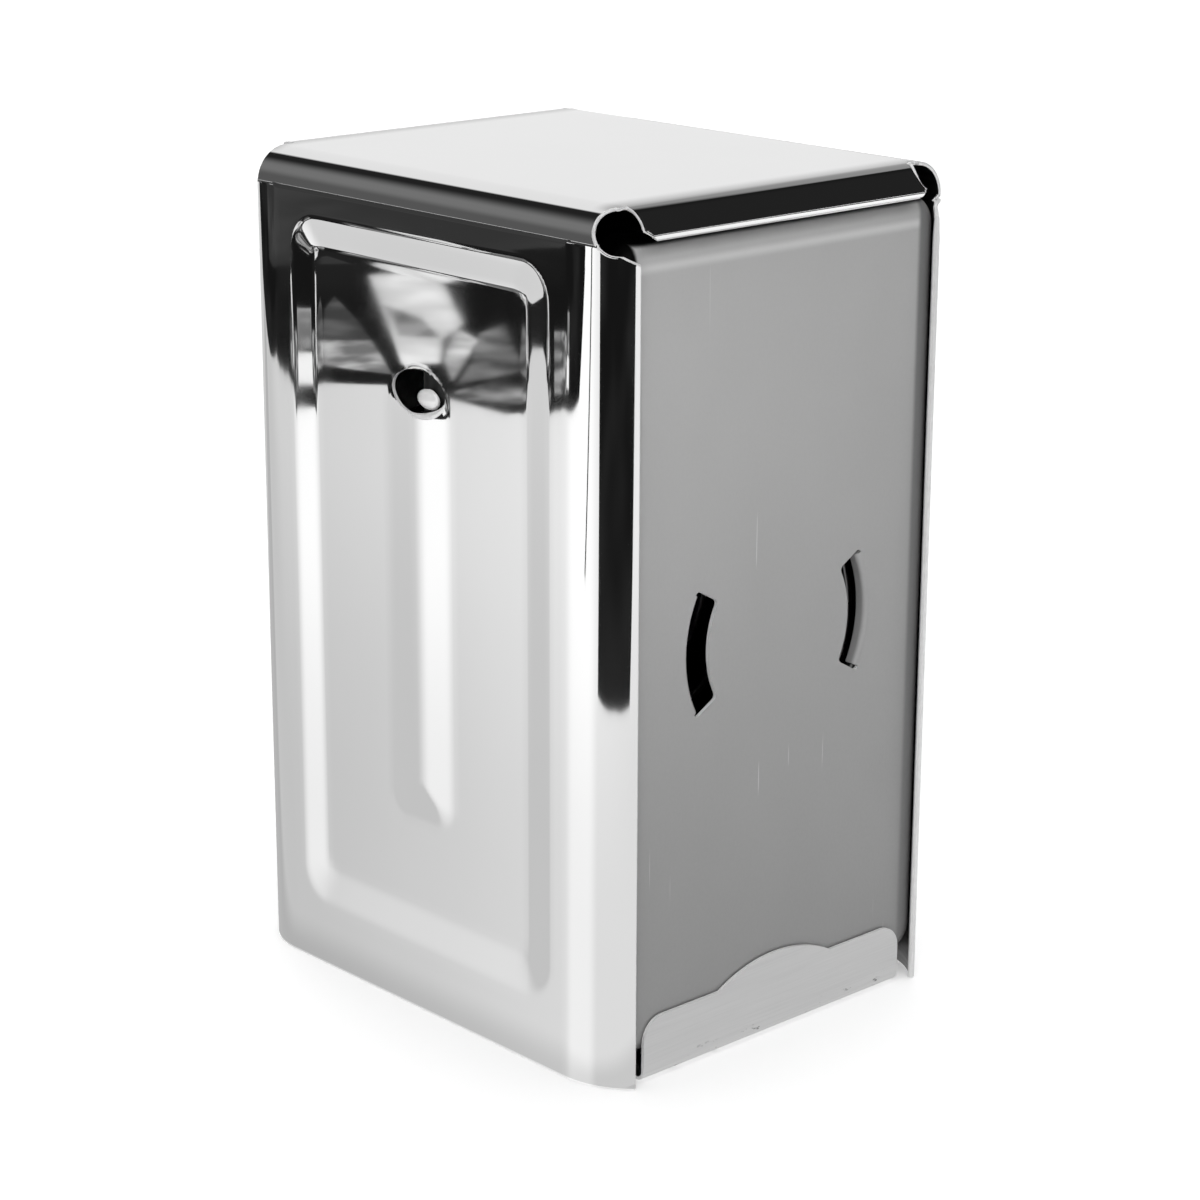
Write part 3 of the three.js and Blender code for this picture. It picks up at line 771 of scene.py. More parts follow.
def relief_cutter(c, plan, finishes):
    """Reliefs of the upper corners: a round one at one end of each lip, a square notch at the other."""
    outside = 2 * plan.half_length

    def build(bm, sx, sy):
        if sx == sy:
            start = plan.bend_end - (c.notch_shift if sx < 0 else 0)
            inner = plan.flat_half - c.far_trim
            low = plan.height - c.notch_drop - (c.notch_deepen if sx > 0 else 0)
            outline = [(inner, low), (outside, low), (outside, outside + low), (inner, outside + low)]
            add_prism(bm, outline, lambda u, v, w: (sx * w, sy * u, v), start, outside)
            return
        axis = Vector((sx, sy, c.relief_rise)).normalized()
        turn = Vector((0, 0, 1)).rotation_difference(axis).to_matrix().to_4x4()
        centre = (sx * plan.half_length, sy * plan.half_depth, plan.height - c.relief_drop)
        bmesh.ops.create_cone(
            bm,
            cap_ends=True,
            segments=72,
            radius1=c.relief,
            radius2=c.relief,
            depth=8 * c.relief,
            matrix=Matrix.Translation(centre) @ turn,
        )

    return four_corners("reliefs", finishes, build)


def lip_cutter(c, plan, finishes):
    """Ends of the lips: slanted at one end, upright with a round bite at the other."""
    low = plan.height - c.lip_bend - 2 * c.lip_curl
    high = plan.height - c.relief_drop
    end = plan.flat_half - c.lip_trim
    far = plan.flat_half + c.rim
    slanted = [(end, low), (end + c.lip_trim_slope, high), (end + c.lip_trim_slope, low)]
    short = plan.flat_half - c.far_trim
    foot = short - c.far_tail
    bite_z = plan.height - c.far_bite
    upright = [(foot, low), (foot, plan.height - c.lip_bend), (short, plan.height - 2 * c.far_bite)]
    upright += arc(short + c.far_bite_shift, bite_z, c.far_bite, 1.2 * math.pi, QUARTER, 12)
    upright += [(far, plan.height), (far, low)]

    def build(bm, sx, sy):
        outline = upright if sx == sy else slanted
        add_prism(bm, outline, lambda u, v, w: (sx * w, sy * u, v), plan.lip_start, 2 * plan.half_length)

    return four_corners("lip_ends", finishes, build)


def flange_cutter(c, plan, finishes):
    """Oblique upper ends of the flanges, but for the one whose notch lies further in."""
    past = 5 * MM
    low = plan.height - c.relief_drop - c.flange_trim_drop
    high = plan.bend_foot + c.sheet / 8
    edge = plan.flange_edge
    outline = [
        (edge + past, low - c.flange_trim_slope * past),
        (edge + past, high),
        (edge - (high - low) / c.flange_trim_slope, high),
    ]

    def build(bm, sx, sy):
        if sx == sy == -1:
            return
        inner = plan.flat_half - c.top_bend / 2
        add_prism(bm, outline, lambda u, v, w: (sx * u, sy * w, v), inner, plan.half_depth + past)

    return four_corners("flange_ends", finishes, build)


def hole_cutter(c, plan, finishes):
    """The oval hole through both broad sides."""
    bm = bmesh.new()
    around = np.linspace(0, 2 * math.pi, 72, endpoint=False)
    half_width, half_height = c.hole_width / 2, c.hole_height / 2
    oval = [(half_width * math.cos(t), plan.hole_z + half_height * math.sin(t)) for t in around]
    add_prism(bm, oval, lambda u, v, w: (u, w, v), -2 * plan.half_depth, 2 * plan.half_depth)
    return new_object("holes", bm, finishes, index=2)


def rim_chains(bm, floor):
    """Runs of points along the edges between the bright face and the cut edge, above a floor height."""
    links = {}
    for edge in bm.edges:
        kinds = {face.material_index for face in edge.link_faces}
        if kinds == {0, 2} and max(v.co.z for v in edge.verts) > floor:
            for one, two in (edge.verts, reversed(edge.verts)):
                links.setdefault(one, []).append(two)
    ends = [v for v in links if len(links[v]) == 1]
    left = set(links)
    chains = []
    for start in ends + list(links):
        if start not in left:
            continue
        chain = [start]
        left.discard(start)
        while True:
            ahead = [v for v in links[chain[-1]] if v in left]
            if not ahead:
                break
            chain.append(ahead[0])
            left.discard(ahead[0])
        if start in links[chain[-1]] and len(chain) > 2:
            chain.append(start)
        chains.append(chain)
    return chains


def rim_frame(vert, sheet, inset):
    """Centre of the rim at a vertex of the cut edge, and its outward direction."""
    out = sum((f.normal for f in vert.link_faces if f.material_index == 0), Vector()).normalized()
    away = sum((f.normal for f in vert.link_faces if f.material_index == 2), Vector()).normalized()
    return vert.co - sheet / 2 * out - inset * away, out


def rim_radius(c, centre):
    """Radius of the rim at a place: fuller at the lower right of a hole and down two flanges."""
    if abs(centre.x) < c.hole_width:
        across = 2 * math.copysign(centre.x, -centre.x * centre.y) / c.hole_width
        down = 2 * (COVER_HIGH.z - c.hole_drop - centre.z) / c.hole_height
        lower_right = max(0.5 * across + 0.85 * down, 0)
        return c.hole_rim + (c.hole_lip - c.hole_rim) * lower_right**3
    if centre.x * centre.y < 0:
        return c.rim
    below = (COVER_HIGH.z - c.top_bend - centre.z) / c.top_bend
    upper = c.lip_rim if abs(centre.y) < COVER_HIGH.y - c.top_bend else c.rim
    return upper + (c.flange_rim - upper) * min(max(below, 0), 1)


def add_rim(obj, c, sides=8, spacing=0.25 * MM):
    """Rounds the cover's free edges with a slim bright rim."""
    bm = bmesh.new()
    bm.from_mesh(obj.data)
    bm.normal_update()
    tube = bmesh.new()
    turns = np.linspace(0, 2 * math.pi, sides, endpoint=False)
    for chain in rim_chains(bm, c.sheet):
        frames = [rim_frame(v, c.sheet, c.rim_inset) for v in chain]
        kept = [frames[0]]
        for frame_here in frames[1:]:
            if (frame_here[0] - kept[-1][0]).length > spacing:
                kept.append(frame_here)
        if len(kept) < 3:
            continue
        rings = []
        for i, (centre, out) in enumerate(kept):
            along = (kept[min(i + 1, len(kept) - 1)][0] - kept[max(i - 1, 0)][0]).normalized()
            side = along.cross(out).normalized()
            up = side.cross(along)
            radius = rim_radius(c, centre)
            ring = [centre + radius * (math.cos(t) * up + math.sin(t) * side) for t in turns]
            rings.append([np.clip(point, COVER_LOW, COVER_HIGH) for point in ring])
        add_loft(tube, rings)
    bm.free()
    return new_object("rim", tube, obj.data.materials, index=2)


def join(obj, other):
    """Adds another object's mesh to this one's."""
    bm = bmesh.new()
    bm.from_mesh(obj.data)
    bm.from_mesh(other.data)
    bm.to_mesh(obj.data)
    bm.free()
    discard(other)


def build_cover(c, colours):
    """Two broad sides, the top and two lips as one sheet, then its cuts and its rim."""
    plan = CoverPlan(c)
    finishes = [chrome_finish(colours), lining_finish(colours), edge_finish(colours)]
    near = side_patches(c, plan, soft=False)
    far = side_patches(c, plan, soft=True)
    top, y = top_patch(plan, near[1][-1, :, 0])
    lip = lip_patch(c, plan, y)
    bm = bmesh.new()
    for patch in (*near, lip, top):
        add_grid(bm, patch)
    for patch in (*far, lip):
        add_grid(bm, turned(patch))
    cover = new_object("cover_sheet", bm, finishes, up=((0, 0, plan.height), (0, 0, 1)))
    thicken(cover, c.sheet)
    for cutter in (relief_cutter, lip_cutter, flange_cutter, hole_cutter):
        combine(cover, cutter(c, plan, finishes), "DIFFERENCE")
    join(cover, add_rim(cover, c))
    shade(cover)
    assign(cover, "case", "cover")


# Base pan

def lip_top(b, y):
    """Height of the end lip's upper edge across the mouth: round corners and a hump in the middle."""
    low = BASE_HIGH.z - b.hump_rise
    shoulder = np.maximum(np.abs(y) - (b.lip_width / 2 - b.lip_corner), 0)
    top = low - b.lip_corner + np.sqrt(np.maximum(b.lip_corner**2 - shoulder**2, 0))
    half = b.hump_width / 2
    radius = (half**2 + b.hump_rise**2) / (2 * b.hump_rise)
    inside = np.minimum(np.abs(y), half)
    hump = np.sqrt(radius**2 - inside**2) - (radius - b.hump_rise)
    return top + np.maximum(hump, 0)


def base_end(b, y):
    """The +X end of the pan: floor, bend and lip."""
    half = BASE_HIGH.x
    bend = arc(half - b.bend, b.bend, b.bend, -QUARTER, 0, 10)
    rows = [np.stack([np.full_like(y, b.side_end), y, 0 * y], -1)]
    rows += [np.stack([np.full_like(y, px), y, np.full_like(y, pz)], -1) for px, pz in bend]
    top = lip_top(b, y)
    for t in np.linspace(0, 1, 9)[1:]:
        rows.append(np.stack([np.full_like(y, half), y, b.bend + t * (top - b.bend)], -1))
    return np.array(rows)


def base_side(b):
    """The near side of the pan: floor, bend and low flange."""
    half = BASE_HIGH.y
    profile = [(-b.lip_width / 2, 0)]
    profile += [(-py, pz) for py, pz in arc(half - b.bend, b.bend, b.bend, -QUARTER, 0, 10)]
    profile.append((-half, b.side_height))
    return np.array([[(px, py, pz) for px in (-b.side_end, b.side_end)] for py, pz in profile])


def build_base(b, colours):
    """The pan's floor, ends and sides as one sheet with rounded cut edges."""
    corner = b.lip_width / 2 - b.lip_corner
    half = stations(0, (b.hump_width / 2, 1.5 * MM), (corner, 3 * MM))
    rounding = corner + b.lip_corner * np.sin(np.linspace(0, QUARTER, 13))[1:]
    y = mirrored_stations(np.concatenate([half, rounding]))
    end = base_end(b, y)
    side = base_side(b)
    floor = np.array([[(px, py, 0) for py in y] for px in (-b.side_end, b.side_end)])
    bm = bmesh.new()
    for patch in (end, side):
        add_grid(bm, patch)
        add_grid(bm, turned(patch))
    add_grid(bm, floor)
    pan = pan_finish(colours)
    finishes = [pan, pan, edge_finish(colours)]
    base = new_object("base_pan", bm, finishes, up=((0, 0, 0), (0, 0, -1)))
    thicken(base, b.sheet)
    rounded = base.modifiers.new("edges", "BEVEL")
    rounded.width = b.edge
    rounded.segments = 2
    rounded.limit_method = "ANGLE"
    rounded.angle_limit = math.radians(60)
    settle(base)
    shade(base, weighted=True)
    assign(base, "case", "base")


# Follower plates

def plate_ring(p, x, shrink):
    """Outline of the plate at a station on X, drawn in by an amount."""
    half = PLATE_HIGH.y - shrink
    low = PLATE_LOW.z + shrink
    high = PLATE_HIGH.z - shrink
    radius = p.corner - shrink
    ring = []
    for k, (cy, cz) in enumerate(((half, high), (-half, high), (-half, low), (half, low))):
        inner_y = cy - math.copysign(radius, cy)
        inner_z = high - radius if cz == high else low + radius
        ring += arc(inner_y, inner_z, radius, k * QUARTER, (k + 1) * QUARTER, 12)
    return [(x, y, z) for y, z in ring]


def sector(p, inner, outer):
    """Outline of a ring's sector with round corners, about the +Y side of the spring's axis."""
    c = p.slot_corner
    corner = np.linspace(0, QUARTER, 6)
    outline = []
    for ring, way in ((outer, 1), (inner, -1)):
        end = p.slot_turn - c / ring
        radii = [ring - way * c * (1 - math.sin(t)) for t in corner]
        turns = [way * (c * (1 - math.cos(t)) / ring - p.slot_turn) for t in corner]
        middle = list(np.linspace(-way * end, way * end, 22))[1:-1]
        radii += [ring] * len(middle) + radii[::-1]
        turns += middle + [-t for t in turns[::-1]]
        outline += [(r * math.cos(t), p.seat_height + r * math.sin(t)) for r, t in zip(radii, turns)]
    return outline


def slot_cutter(p, front, finishes):
    """The two lanced arcs, with the sheet that turns in along their outer edges."""
    bm = bmesh.new()
    outline = sector(p, p.seat - p.slot, p.seat + p.tongue_bend)
    for side in (1, -1):
        add_prism(bm, outline, lambda u, v, w: (w, side * u, v), front - p.edge, front + p.edge)
    return new_object("slots", bm, finishes, index=2)


def tongue_profile(p, front):
    """Section of a turned-in tongue, as radius and station on X, rooted in the plate's face."""
    root = p.seat + p.tongue_bend
    outer = arc(root, front - p.tongue_bend, p.tongue_bend, QUARTER, math.pi, 8)
    inner = arc(root, front - p.tongue_bend, p.tongue_bend - p.sheet, math.pi, QUARTER, 8)
    tip = front - p.tongue
    overlap = 0.2 * MM
    return (
        [(root + overlap, front)] + outer + [(p.seat, tip), (p.seat + p.sheet, tip)]
        + inner + [(root + overlap, front - p.sheet)]
    )


def tongues(p, front, finishes):
    """The two tongues that hold the spring's end coil."""
    bm = bmesh.new()
    profile = tongue_profile(p, front)
    end = p.slot_turn - p.slot_corner / (p.seat + p.tongue_bend)
    for side in (1, -1):
        rings = []
        for turn in np.linspace(-end, end, 25):
            ring = [
                (x, side * r * math.cos(turn), p.seat_height + r * math.sin(turn)) for r, x in profile
            ]
            rings.append(ring)
        add_loft(bm, rings)
    return new_object("tongues", bm, finishes)


def plate_mesh(p, finishes):
    """The front plate: a shallow drawn pan with its lanced arcs and their tongues."""
    front = PLATE_HIGH.x
    rings = [plate_ring(p, PLATE_LOW.x, 0)]
    for turn in np.linspace(0, QUARTER, 13):
        x = front - p.edge + p.edge * math.sin(turn)
        rings.append(plate_ring(p, x, p.edge - p.edge * math.cos(turn)))
    bm = bmesh.new()
    add_loft(bm, rings, closed=False)
    plate = new_object("front_plate_sheet", bm, finishes, up=((front, 0, p.seat_height), (1, 0, 0)))
    thicken(plate, p.sheet)
    combine(plate, slot_cutter(p, front, finishes), "DIFFERENCE")
    combine(plate, tongues(p, front, finishes), "UNION")
    shade(plate, weighted=True)
    return plate


def build_plates(p, colours):
    """The front plate, and the same plate turned round at the rear."""
    satin = satin_finish(colours)
    front = plate_mesh(p, [satin, satin, edge_finish(colours)])
    rear = turned_copy(front, "rear_plate_sheet")
    assign(front, "front_follower", "front_plate")
    assign(rear, "rear_follower", "rear_plate")


# Divider and springs

def build_divider(d, colours):
    """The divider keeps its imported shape, with fuller domes and its bends shaded smooth."""
    divider = bpy.data.objects.new("divider_sheet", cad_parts["center_divider"].data.copy())
    bpy.context.scene.collection.objects.link(divider)
    bm = bmesh.new()
    bm.from_mesh(divider.data)
    bmesh.ops.remove_doubles(bm, verts=bm.verts, dist=WELD)
    for place in (vert.co for vert in bm.verts):
        rise = abs(place.y) - d.face
        if rise > 10 * WELD:
            place.x = d.dome_x + d.dome_length * (place.x - d.dome_x)
            place.z = d.dome_height + d.dome_swell * (place.z - d.dome_height)
            place.y = math.copysign(d.face + d.dome_rise * rise, place.y)
    bm.to_mesh(divider.data)
    bm.free()
    divider.data.materials.clear()
    divider.data.materials.append(web_finish(colours))
    shade(divider, weighted=True)
    assign(divider, "case", "center_divider")


def coil_mesh(s, wire):
    """Centre line of the front spring with close end turns, swept by its wire."""
    radius = (SPRING_HIGH.y - SPRING_LOW.y - s.wire) / 2
    middle = (SPRING_HIGH.z + SPRING_LOW.z) / 2
    start = SPRING_LOW.x + s.wire / 2
    span = SPRING_HIGH.x - SPRING_LOW.x - s.wire
    open_turns = s.turns - 2 * s.closed_turns
    closed_pitch = s.wire + s.closed_gap
    open_pitch = (span - 2 * s.closed_turns * closed_pitch) / open_turns
    rings = []
    for turns in np.linspace(0, s.turns, round(48 * s.turns) + 1):
        opened = min(max(turns - s.closed_turns, 0), open_turns)
        x = start + (turns - opened) * closed_pitch + opened * open_pitch
        spin = 2 * math.pi * turns
        out = Vector((0, math.sin(spin), math.cos(spin)))
        centre = Vector((x, 0, middle)) + radius * out
        ring = []
        for t in np.linspace(0, 2 * math.pi, 12, endpoint=False):
            ring.append(centre + s.wire / 2 * (math.cos(t) * out + Vector((math.sin(t), 0, 0))))
        rings.append(ring)
    bm = bmesh.new()
    add_loft(bm, rings)
    return new_object("front_coil", bm, [wire])


def build_springs(s, colours):
    """Both coils, the rear one a turned copy of the front one, each on the case."""
    front = coil_mesh(s, wire_finish(colours))
    shade(front)
    rear = turned_copy(front, "rear_coil")
    for coil, end, way in ((front, "front", 1), (rear, "rear", -1)):
        assign(coil, "case", end + "_spring")
        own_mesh(coil)


# Stage

# Headings that the metal sees, each with its full and its faded half width, in degrees
HAZE_LOBE = (214, 2, 28)
GLOW_LOBE = (124, 9, 13)
BACKDROP_LOBE = (151, 18, 24)
TABLE_GLOW_LOBE = (247, 10, 25)
TABLE_SIDE_LOBE = (272, 48, 56)

# Sines of the height angles between which each of them fades
HAZE_RISE = (0.2, 0.42)
HAZE_FADE = (0.5, 0.72)
GLOW_FADE = (0.58, 0.68)
BACKDROP_FADE = (0.75, 0.95)
HORIZON = (-0.01, 0)

# Distances from the dispenser's middle over which the table brightens
CONTACT_FADE = (51.5 * MM, 66 * MM)
NEARBY_FADE = (110 * MM, 380 * MM)

# A card alone, or with a twin on the opposite side
ALONE = (("", 1),)
PAIRED = (("", 1), ("_twin", -1))


def bare_material(name):
    """A material with an empty node tree."""
    material = bpy.data.materials.new(name)
    material.use_nodes = True
    material.node_tree.nodes.clear()
    return material, Nodes(material.node_tree)


def show_surface(nodes, shader):
    """Makes a shader the surface of its material."""
    out = nodes.tree.nodes.new("ShaderNodeOutputMaterial")
    nodes.link(shader.outputs[0], out.inputs["Surface"])


def square_mesh(name, reach, height, material):
    """A level square about the dispenser."""
    mesh = bpy.data.meshes.new(name)
    corners = [(-reach, -reach), (reach, -reach), (reach, reach), (-reach, reach)]
    mesh.from_pydata([(x, y, height) for x, y in corners], [], [range(4)])
    mesh.materials.append(material)
    return mesh


def glowing(name, low, high, cells):
    """A finish that gives off an uneven light of its own, between two strengths."""
    material, nodes = bare_material(name)
    patches = nodes.noise(nodes.object_places(), (cells, cells, cells), detail=2)
    glow = nodes.tree.nodes.new("ShaderNodeEmission")
    nodes.link(nodes.ramp(patches, 0.4, 0.65, low, high), glow.inputs["Strength"])
    show_surface(nodes, glow)
    return material


def headings(nodes, x, y):
    """Cosine and sine of a heading, and the same of twice the heading."""
    xx = nodes.math("MULTIPLY", x, x)
    yy = nodes.math("MULTIPLY", y, y)
    level = nodes.math("ADD", nodes.math("ADD", xx, yy), 1e-6)
    flat = nodes.math("SQRT", level)
    single = (nodes.math("DIVIDE", x, flat), nodes.math("DIVIDE", y, flat))
    across = nodes.math("MULTIPLY", nodes.math("MULTIPLY", x, y), 2)
    double = (
        nodes.math("DIVIDE", nodes.math("SUBTRACT", xx, yy), level),
        nodes.math("DIVIDE", across, level),
    )
    return single, double


def lobe(nodes, pair, heading, inner, outer, folds=1):
    """1 within an inner angle of a heading, 0 past an outer one; two folds add the opposite heading."""
    turn = math.radians(folds * heading)
    toward = nodes.math("MULTIPLY", pair[0], math.cos(turn))
    aside = nodes.math("MULTIPLY", pair[1], math.sin(turn))
    facing = nodes.math("ADD", toward, aside)
    low, high = (math.cos(math.radians(folds * width)) for width in (outer, inner))
    return nodes.ramp(facing, low, high)


def show_in_metal(obj):
    """Puts an object on the stage where only the metal reflects it."""
    bpy.context.scene.collection.objects.link(obj)
    obj.visible_camera = False
    obj.visible_diffuse = False
    obj.visible_shadow = False


def card(name, corners, low, high, cells=6, twins=PAIRED):
    """A flat card in millimetres that only shows in the metal, alone or with its twin."""
    material = glowing(name, low, high, cells)
    for twin, way in twins:
        mesh = bpy.data.meshes.new(name + twin)
        points = [(way * x * MM, way * y * MM, z * MM) for x, y, z in corners]
        mesh.from_pydata(points, [], [range(len(points))])
        mesh.materials.append(material)
        show_in_metal(bpy.data.objects.new(name + twin, mesh))


def standing(name, start, end, distance, low, high, glow):
    """An upright card between two headings in degrees, as seen from the dispenser."""
    turns = [math.radians(heading) for heading in (start, end)]
    feet = [(distance * math.cos(turn), distance * math.sin(turn)) for turn in turns]
    corners = [(*feet[0], low), (*feet[1], low), (*feet[1], high), (*feet[0], high)]
    card(name, corners, *glow, twins=ALONE)


def lying(name, outline, glow, height=0.5, cells=6, twins=PAIRED):
    """A card just over the floor."""
    card(name, [(x, y, height) for x, y in outline], *glow, cells, twins)


def table_contact(s):
    """Shade on the table along the dispenser's foot and near it, as the metal shows it."""
    material, nodes = bare_material("table_contact")
    aside = nodes.math("ABSOLUTE", nodes.split(nodes.object_places())["Y"])
    foot = nodes.ramp(aside, *CONTACT_FADE, s.contact, 1)
    near = nodes.ramp(aside, *NEARBY_FADE, s.nearby, 1)
    veil = nodes.tree.nodes.new("ShaderNodeBsdfTransparent")
    nodes.link(nodes.math("MULTIPLY", foot, near), veil.inputs["Color"])
    show_surface(nodes, veil)
    mesh = square_mesh("table_contact", 1.5, 0.3 * MM, material)
    show_in_metal(bpy.data.objects.new("table_contact", mesh))


def build_cards():
    """Dark surrounds of the white table, and pale things lying on them."""
    front = [
        (60, -312), (155, -279), (229, -239), (330, -330),
        (12000, -11500), (8000, -16000), (800, -16000),
    ]
    side = [
        (-14700, 6250), (-900, 60), (-760, -105), (-700, -200), (-632, -375), (-560, -430),
        (-527, -428), (-503, -448), (-430, -448), (-416, -480), (-300, -575), (-225, -640),
        (-225, -980), (-4600, -15500), (-12000, -12000), (-16000, 0),
    ]
    far = [(-913, -313), (-660, -734), (-11100, -11500), (-15400, -4400)]
    lying("dark_front", front, (0.009, 0.023), 0.6, 2)
    lying("dark_side", side, (0.009, 0.023), cells=3)
    lying("grey_far", far, (0.04, 0.064), 0.65)
    end = [(60, -46), (60, 55), (98, 90), (112, 90), (112, -46)]
    lying("table_end", end, (0.56, 0.58), 0.4, twins=ALONE)
    lying("dark_line", [(-62, -420), (-52, -420), (-90, -1500), (-125, -1500)], (0.02, 0.03), 0.7)

    sheet = [
        (-704, -595), (-689, -627), (-579, -551), (-558, -521),
        (-520, -488), (-530, -475), (-640, -551),
    ]
    fold = [(-644, -554), (-601, -544), (-560, -522), (-578, -512), (-608, -533)]
    lying("pale_sheet", sheet, (0.75, 1.05), 0.9, 20)
    lying("sheet_fold", fold, (0.1, 0.4), 1, 40)

    leaf = [(-595, -481), (-650, -526), (-672, -549), (-619, -521), (-580, -498)]
    tip = [(-595, -481), (-580, -498), (-518, -460), (-553, -449)]
    lying("left_leaf", leaf, (0.06, 0.16), 0.9, 20)
    lying("left_tip", tip, (0.2, 0.65), 0.9, 40)

    fan = [(-522, -492), (-575, -543), (-547, -533), (-489, -469)]
    leaf = [(-557, -542), (-566, -565), (-486, -508), (-482, -465), (-511, -498)]
    tip = [(-473, -456), (-478, -486), (-462, -487), (-437, -464), (-459, -451)]
    lying("right_fan", fan, (0.4, 1), 0.9, 40)
    lying("right_leaf", leaf, (0.06, 0.3), 0.9, 30)
    lying("right_tip", tip, (0.05, 0.5), 0.9, 50)

    lying("margin_leaf", [(-540, -573), (-500, -612), (-410, -524), (-444, -488)], (0.08, 0.55), 0.9, 40)
    lying("pale_strip", [(-427, -605), (-459, -581), (-421, -528), (-389, -552)], (1.1, 1.1), 1)
    lying("grey_strip", [(-487, -684), (-519, -660), (-464, -588), (-432, -612)], (0.2, 0.5), 1, 20)
    standing("pale_end", 40, 52, 1500, -10, 90, (1.1, 1.1))


def build_floor(s):
    """A plain floor that is lifted to white for the camera and keeps a soft shadow."""
    material = bpy.data.materials.new("floor_sheet")
    material.use_nodes = True
    nodes = Nodes(material.node_tree)
    shader = nodes.tree.nodes["Principled BSDF"]
    shader.inputs["Base Color"].default_value = (*s.floor, 1)
    shader.inputs["Roughness"].default_value = 1
    shader.inputs["Specular IOR Level"].default_value = 0
    shader.inputs["Emission Color"].default_value = (1, 1, 1, 1)
    path = nodes.tree.nodes.new("ShaderNodeLightPath")
    lift = nodes.math("MULTIPLY", path.outputs["Is Camera Ray"], s.floor_lift)
    nodes.link(lift, shader.inputs["Emission Strength"])
    floor = bpy.data.objects.new("floor", square_mesh("floor", 8, -0.2 * MM, material))
    bpy.context.scene.collection.objects.link(floor)
    floor.visible_glossy = False


def build_world(s):
    """White behind the dispenser for the camera; for the metal, a dim room with a white table."""
    world = bpy.data.worlds.new("room")
    bpy.context.scene.world = world
    world.use_nodes = True
    nodes = Nodes(world.node_tree)
    ground = nodes.tree.nodes["Background"]
    way = nodes.split(nodes.tree.nodes.new("ShaderNodeTexCoord").outputs["Generated"])
    z = way["Z"]
    single, double = headings(nodes, way["X"], way["Y"])
    room = s.room
    lifted = nodes.math("MULTIPLY", nodes.ramp(z, *HAZE_FADE, 1, 0), nodes.ramp(z, *HAZE_RISE, 0.5, 1))
    walls = (
        (s.haze, lobe(nodes, single, *HAZE_LOBE), lifted),
        (s.glow, lobe(nodes, double, *GLOW_LOBE, folds=2), nodes.ramp(z, *GLOW_FADE, 1, 0)),
        (s.backdrop, lobe(nodes, double, *BACKDROP_LOBE, folds=2), nodes.ramp(z, *BACKDROP_FADE, 1, 0)),
    )
    for colour, heading, height in walls:
        room = nodes.blend(nodes.math("MULTIPLY", heading, height), room, colour)
    glow = nodes.math("MULTIPLY", lobe(nodes, double, *TABLE_GLOW_LOBE, folds=2), s.table_glow)
    side = nodes.math("MULTIPLY", lobe(nodes, double, *TABLE_SIDE_LOBE, folds=2), s.table_side)
    light = nodes.math("ADD", nodes.math("ADD", glow, side), s.table)
    room = nodes.blend(nodes.ramp(z, *HORIZON, 1, 0), room, light)
    path = nodes.tree.nodes.new("ShaderNodeLightPath")
    nodes.link(nodes.blend(path.outputs["Is Camera Ray"], room, (1, 1, 1)), ground.inputs["Color"])


def add_lamp(name, kind, place):
    """A lamp that the metal doesn't mirror."""
    data = bpy.data.lights.new(name, kind)
    lamp = bpy.data.objects.new(name, data)
    lamp.location = place
    lamp.visible_glossy = False
    bpy.context.scene.collection.objects.link(lamp)
    return data


def build_lights(s):
    """Soft light from overhead and from the mouth's side."""
    overhead = add_lamp("overhead", "SUN", (0, 0, 2))
    overhead.energy = s.overhead
    overhead.angle = s.overhead_spread
    front = add_lamp("front", "SUN", (1, -0.5, 1))
    front.energy = s.front
    front.angle = s.overhead_spread
    level = math.cos(s.front_height)
    toward = Vector((
        level * math.cos(s.front_heading),
        level * math.sin(s.front_heading),
        math.sin(s.front_height),
    ))
    bpy.data.objects["front"].rotation_euler = toward.to_track_quat("Z", "Y").to_euler()


def build_camera(s):
    """Camera from its bearing, height angle, roll and distance."""
    flat_right = Vector((math.cos(s.azimuth), math.sin(s.azimuth), 0))
    back = Vector((
        math.sin(s.azimuth) * math.cos(s.elevation),
        -math.cos(s.azimuth) * math.cos(s.elevation),
        math.sin(s.elevation),
    ))
    flat_up = back.cross(flat_right)
    right = math.cos(s.roll) * flat_right - math.sin(s.roll) * flat_up
    up = math.cos(s.roll) * flat_up + math.sin(s.roll) * flat_right
    place = Vector((0, 0, s.aim_height)) + s.aim_right * flat_right + s.distance * back
    data = bpy.data.cameras.new("camera")
    data.sensor_width = 36
    data.sensor_fit = "HORIZONTAL"
    data.lens = s.lens
    camera = bpy.data.objects.new("camera", data)
    turn = Matrix((right, up, back)).transposed().to_4x4()
    camera.matrix_world = Matrix.Translation(place) @ turn
    bpy.context.scene.collection.objects.link(camera)
    bpy.context.scene.camera = camera


# Operators

class NAPKIN_OT_cover(bpy.types.Operator):
    """Build the chromed cover sheet"""

    bl_idname = "napkin.cover"
    bl_label = "Cover"

    def execute(self, context):
        build_cover(context.scene.napkin_cover, context.scene.napkin_finish)
        return {"FINISHED"}


class NAPKIN_OT_base(bpy.types.Operator):
    """Build the base pan with its humped end lips"""

    bl_idname = "napkin.base"
    bl_label = "Base pan"

    def execute(self, context):
        build_base(context.scene.napkin_base, context.scene.napkin_finish)
        return {"FINISHED"}


class NAPKIN_OT_plates(bpy.types.Operator):
    """Build the two follower plates"""

    bl_idname = "napkin.plates"
    bl_label = "Follower plates"

    def execute(self, context):
        build_plates(context.scene.napkin_plate, context.scene.napkin_finish)
        return {"FINISHED"}


class NAPKIN_OT_divider(bpy.types.Operator):
    """Build the centre divider"""

    bl_idname = "napkin.divider"
    bl_label = "Centre divider"

    def execute(self, context):
        build_divider(context.scene.napkin_divider, context.scene.napkin_finish)
        return {"FINISHED"}


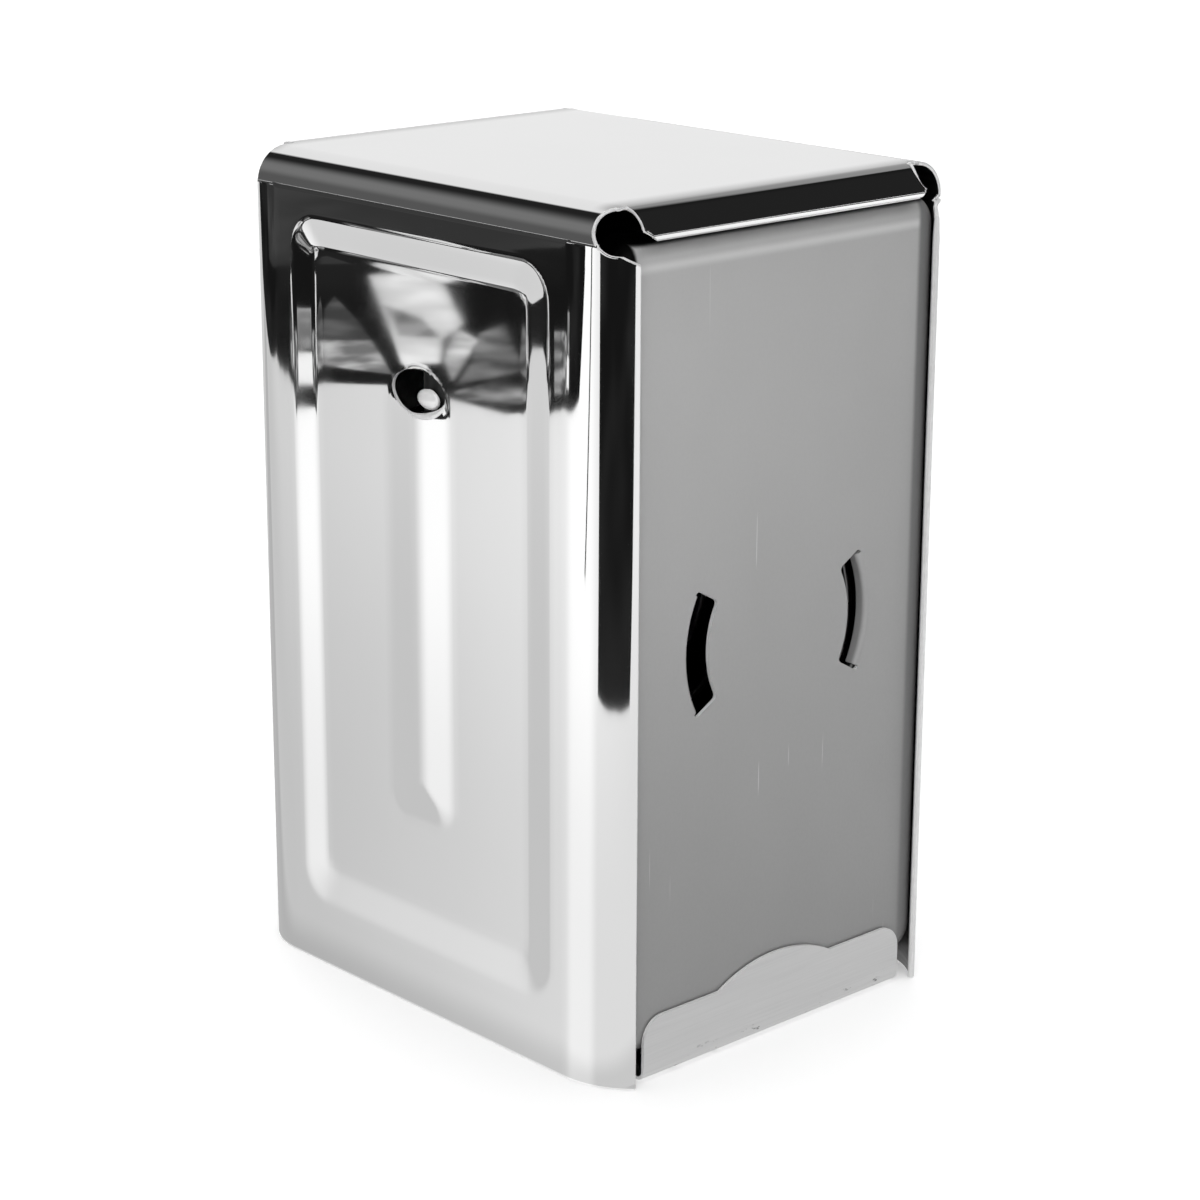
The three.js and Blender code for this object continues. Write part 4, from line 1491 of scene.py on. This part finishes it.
class NAPKIN_OT_springs(bpy.types.Operator):
    """Build the two coil springs"""

    bl_idname = "napkin.springs"
    bl_label = "Springs"

    def execute(self, context):
        build_springs(context.scene.napkin_spring, context.scene.napkin_finish)
        return {"FINISHED"}


class NAPKIN_OT_stage(bpy.types.Operator):
    """Set up the floor, cards, light and camera"""

    bl_idname = "napkin.stage"
    bl_label = "Stage"

    def execute(self, context):
        settings = context.scene.napkin_stage
        context.scene.view_settings.view_transform = "Standard"
        build_floor(settings)
        table_contact(settings)
        build_cards()
        build_world(settings)
        build_lights(settings)
        build_camera(settings)
        return {"FINISHED"}


class NAPKIN_PT_panel(bpy.types.Panel):
    """Sidebar panel that lists the steps and their settings"""

    bl_idname = "NAPKIN_PT_panel"
    bl_label = "Napkin dispenser"
    bl_space_type = "VIEW_3D"
    bl_region_type = "UI"
    bl_category = "Napkin dispenser"

    def draw(self, context):
        for operator in OPERATORS:
            self.layout.operator(operator.bl_idname)
        for name, group in SETTINGS.items():
            box = self.layout.box()
            for key in group.__annotations__:
                box.prop(getattr(context.scene, name), key)


OPERATORS = (
    NAPKIN_OT_cover,
    NAPKIN_OT_base,
    NAPKIN_OT_plates,
    NAPKIN_OT_divider,
    NAPKIN_OT_springs,
    NAPKIN_OT_stage,
)
SETTINGS = {
    "napkin_cover": CoverSettings,
    "napkin_base": BaseSettings,
    "napkin_plate": PlateSettings,
    "napkin_divider": DividerSettings,
    "napkin_spring": SpringSettings,
    "napkin_finish": FinishSettings,
    "napkin_stage": StageSettings,
}


def register():
    for group in SETTINGS.values():
        bpy.utils.register_class(group)
    for name, group in SETTINGS.items():
        setattr(bpy.types.Scene, name, bpy.props.PointerProperty(type=group))
    for operator in OPERATORS:
        bpy.utils.register_class(operator)
    bpy.utils.register_class(NAPKIN_PT_panel)


def unregister():
    bpy.utils.unregister_class(NAPKIN_PT_panel)
    for operator in reversed(OPERATORS):
        bpy.utils.unregister_class(operator)
    for name in SETTINGS:
        delattr(bpy.types.Scene, name)
    for group in reversed(list(SETTINGS.values())):
        bpy.utils.unregister_class(group)


def main():
    register()
    bpy.ops.napkin.cover()
    bpy.ops.napkin.base()
    bpy.ops.napkin.plates()
    bpy.ops.napkin.divider()
    bpy.ops.napkin.springs()
    bpy.ops.napkin.stage()


if __name__ == "__main__":
    main()
